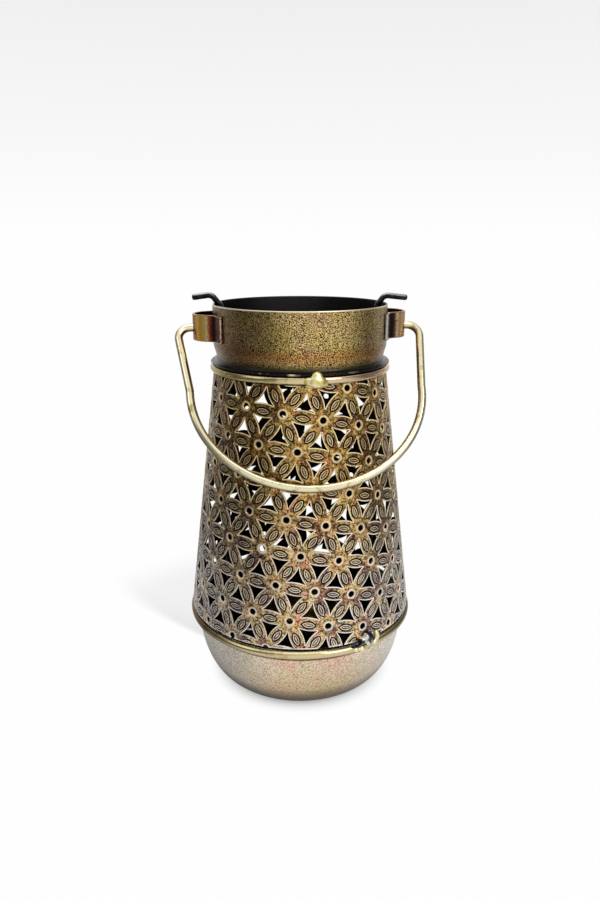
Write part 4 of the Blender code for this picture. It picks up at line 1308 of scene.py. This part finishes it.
# the contact shadow is a band round the foot that runs farther out, and is fainter, on one side
SHADOW_HEADING = (-0.5, 0.866, 0.0)
SHADOW_TURN = (0.75, 0.97)
SHADOW_REACH = (0.037, 0.053)
SHADOW_STRETCH = 0.3
SHADOW_EASE = 0.2
FAR_SHADOW_EASE = 0.6
SMOOTH = {"interpolation_type": "SMOOTHSTEP"}
CAMERA_DISTANCE = 368.0 * MM
CAMERA_HEIGHT = 236.3 * MM
CAMERA_TURN = math.radians(6.5)
CAMERA_PITCH = math.radians(16.61)
CAMERA_LENS = 28.71
CAMERA_SENSOR = 36.0
CAMERA_NEAR = 10.0 * MM
LAMP_AIM = Vector((0.0, 0.0, 110.0 * MM))
bpy.ops.object.select_all(action="DESELECT")
bpy.ops.mesh.primitive_plane_add(size=TABLE_SIZE, location=(0.0, 0.0, 0.0))
table = bpy.context.object
table.name = "table"

# white laminate: matt; the metal sees it dimmer away from the lamps, and the far part is backdrop
table_white = bpy.data.materials.new("white_laminate")
table_white.use_nodes = True
shader = table_white.node_tree.nodes["Principled BSDF"]
shader.inputs["Roughness"].default_value = 0.8
shader.inputs["Specular IOR Level"].default_value = 0.05
place = add_node(table_white, "TexCoord").outputs["Object"]
rays = add_node(table_white, "LightPath")
where = add_node(table_white, "SeparateXYZ", {}, {"Vector": place})
away = add_node(table_white, "VectorMath", {"operation": "LENGTH"}, {0: place}).outputs["Value"]
heading = add_node(table_white, "VectorMath", {"operation": "NORMALIZE"}, {0: place})
from_middle, from_shade = [
    add_node(table_white, "VectorMath", {"operation": "DISTANCE", 1: middle}, {0: place}).outputs["Value"]
    for middle in (LIT_MIDDLE, SHADE_MIDDLE)
]
ahead, shadow_side = [
    add_node(table_white, "VectorMath", {"operation": "DOT_PRODUCT", 1: way}, {0: heading}).outputs["Value"]
    for way in (FRONT_HEADING, SHADOW_HEADING)
]
lit_near, lit_front, lit_back, own_shade, shadow_reach = [
    add_node(table_white, "MapRange", {**SMOOTH, "From": stretch, "To": amounts}, {"Value": source})
    for source, stretch, amounts in (
        (from_middle, LIT_REACH, (1.0, 0.0)),
        (ahead, FRONT_LIGHTER, WHOLE),
        (where.outputs["Y"], LIT_BEHIND, WHOLE),
        (from_shade, SHADE_REACH, (SHADE_DEPTH, 1.0)),
        (shadow_side, SHADOW_TURN, (1.0, SHADOW_STRETCH)),
    )
]
lit_far = add_node(table_white, "Math", {"operation": "MAXIMUM"}, {0: lit_front, 1: lit_back})
lit_all = add_node(table_white, "Math", {"operation": "MAXIMUM"}, {0: lit_near, 1: lit_far})
lit = add_node(table_white, "Math", {"operation": "MULTIPLY"}, {0: lit_all, 1: own_shade})
unlit = add_node(table_white, "MapRange", {"To": (1.0 - ROOM_DIM, 0.0)}, {"Value": lit})
dimmed = add_node(
    table_white, "Math", {"operation": "MULTIPLY"}, {0: unlit, 1: rays.outputs["Is Glossy Ray"]},
)
toned = add_node(
    table_white, "Mix", {"data_type": "RGBA", 6: paint(TABLE_WHITE), 7: paint(TABLE_DARK)}, {0: dimmed},
)
link(table_white, shader, {"Base Color": toned.outputs[2]})
reached = add_node(table_white, "Math", {"operation": "MULTIPLY"}, {0: away, 1: shadow_reach})
shadow_ease = add_node(
    table_white, "MapRange", {"From": SHADOW_TURN, "To": (SHADOW_EASE, FAR_SHADOW_EASE)},
    {"Value": shadow_side},
)
far = add_node(
    table_white, "MapRange", {**SMOOTH, "From": SHADOW_REACH, "To Max": 1.0},
    {"Value": reached, "To Min": shadow_ease},
)
as_backdrop = add_node(
    table_white, "Math", {"operation": "MULTIPLY"}, {0: far, 1: rays.outputs["Is Camera Ray"]},
)
white = add_node(table_white, "Emission", {"Color": paint(BACKDROP_WHITE)})
surface = add_node(table_white, "MixShader", {}, {0: as_backdrop, 1: shader, 2: white})
link(table_white, table_white.node_tree.nodes["Material Output"], {"Surface": surface})
table.data.materials.append(table_white)

world = bpy.data.worlds.new("studio")
bpy.context.scene.world = world
world.use_nodes = True
world.node_tree.nodes.clear()
direction = add_node(world, "TexCoord").outputs["Generated"]
toward = add_node(world, "SeparateXYZ", {}, {"Vector": direction})
rays = add_node(world, "LightPath")
ahead = add_node(world, "VectorMath", {"operation": "DOT_PRODUCT", 1: FRONT_HEADING}, {0: direction})
front, wall, ceiling = [
    add_node(world, "MapRange", {**SMOOTH, "From": stretch, "To": amounts}, {"Value": source})
    for source, stretch, amounts in (
        (ahead.outputs["Value"], FRONT_LIGHTER, WHOLE),
        (toward.outputs["Y"], WALL_LIGHTER, (ROOM_DIM, 1.0)),
        (toward.outputs["Z"], CEILING_LIGHTER, WHOLE),
    )
]
walls = add_node(world, "Math", {"operation": "MAXIMUM"}, {0: front, 1: wall})
room = add_node(world, "Math", {"operation": "MAXIMUM"}, {0: walls, 1: ceiling})
level = add_node(
    world, "Mix", {"data_type": "FLOAT", 2: AMBIENT}, {0: rays.outputs["Is Glossy Ray"], 3: room},
)
seen = add_node(world, "Mix", {"data_type": "FLOAT", 3: 1.0}, {0: rays.outputs["Is Camera Ray"], 2: level})
rise = add_node(world, "MapRange", {"From": BACKDROP_RISE}, {"Value": toward.outputs["Z"]})
shade = add_node(
    world, "Mix", {"data_type": "RGBA", 6: paint(BACKDROP_WHITE), 7: paint(BACKDROP_TOP)}, {0: rise},
)
backdrop = add_node(world, "Background", {}, {"Color": shade.outputs[2], "Strength": seen})
add_node(world, "OutputWorld", {}, {"Surface": backdrop})


def soft_lamp(name, place, size, power):
    """A square soft box that faces the middle of the lantern."""
    lamp = bpy.data.lights.new(name, "AREA")
    lamp.shape = "SQUARE"
    lamp.size = size
    lamp.energy = power
    holder = bpy.data.objects.new(name, lamp)
    bpy.context.scene.collection.objects.link(holder)
    holder.location = place
    holder.rotation_euler = (LAMP_AIM - Vector(place)).to_track_quat("-Z", "Y").to_euler()


soft_lamp("key_lamp", (0.6, -0.8, 1.0), 0.5, 4.0)
soft_lamp("fill_lamp", (-0.9, -0.3, 0.8), 0.5, 0.8)
soft_lamp("top_lamp", (0.0, 0.1, 1.3), 0.8, 3.0)

camera = bpy.data.objects.new("camera", bpy.data.cameras.new("camera"))
bpy.context.scene.collection.objects.link(camera)
camera.location = (
    -CAMERA_DISTANCE * math.sin(CAMERA_TURN), -CAMERA_DISTANCE * math.cos(CAMERA_TURN), CAMERA_HEIGHT,
)
camera.rotation_euler = (math.pi / 2 - CAMERA_PITCH, 0.0, -CAMERA_TURN)
camera.data.lens = CAMERA_LENS
camera.data.sensor_width = CAMERA_SENSOR
camera.data.clip_start = CAMERA_NEAR
bpy.context.scene.camera = camera
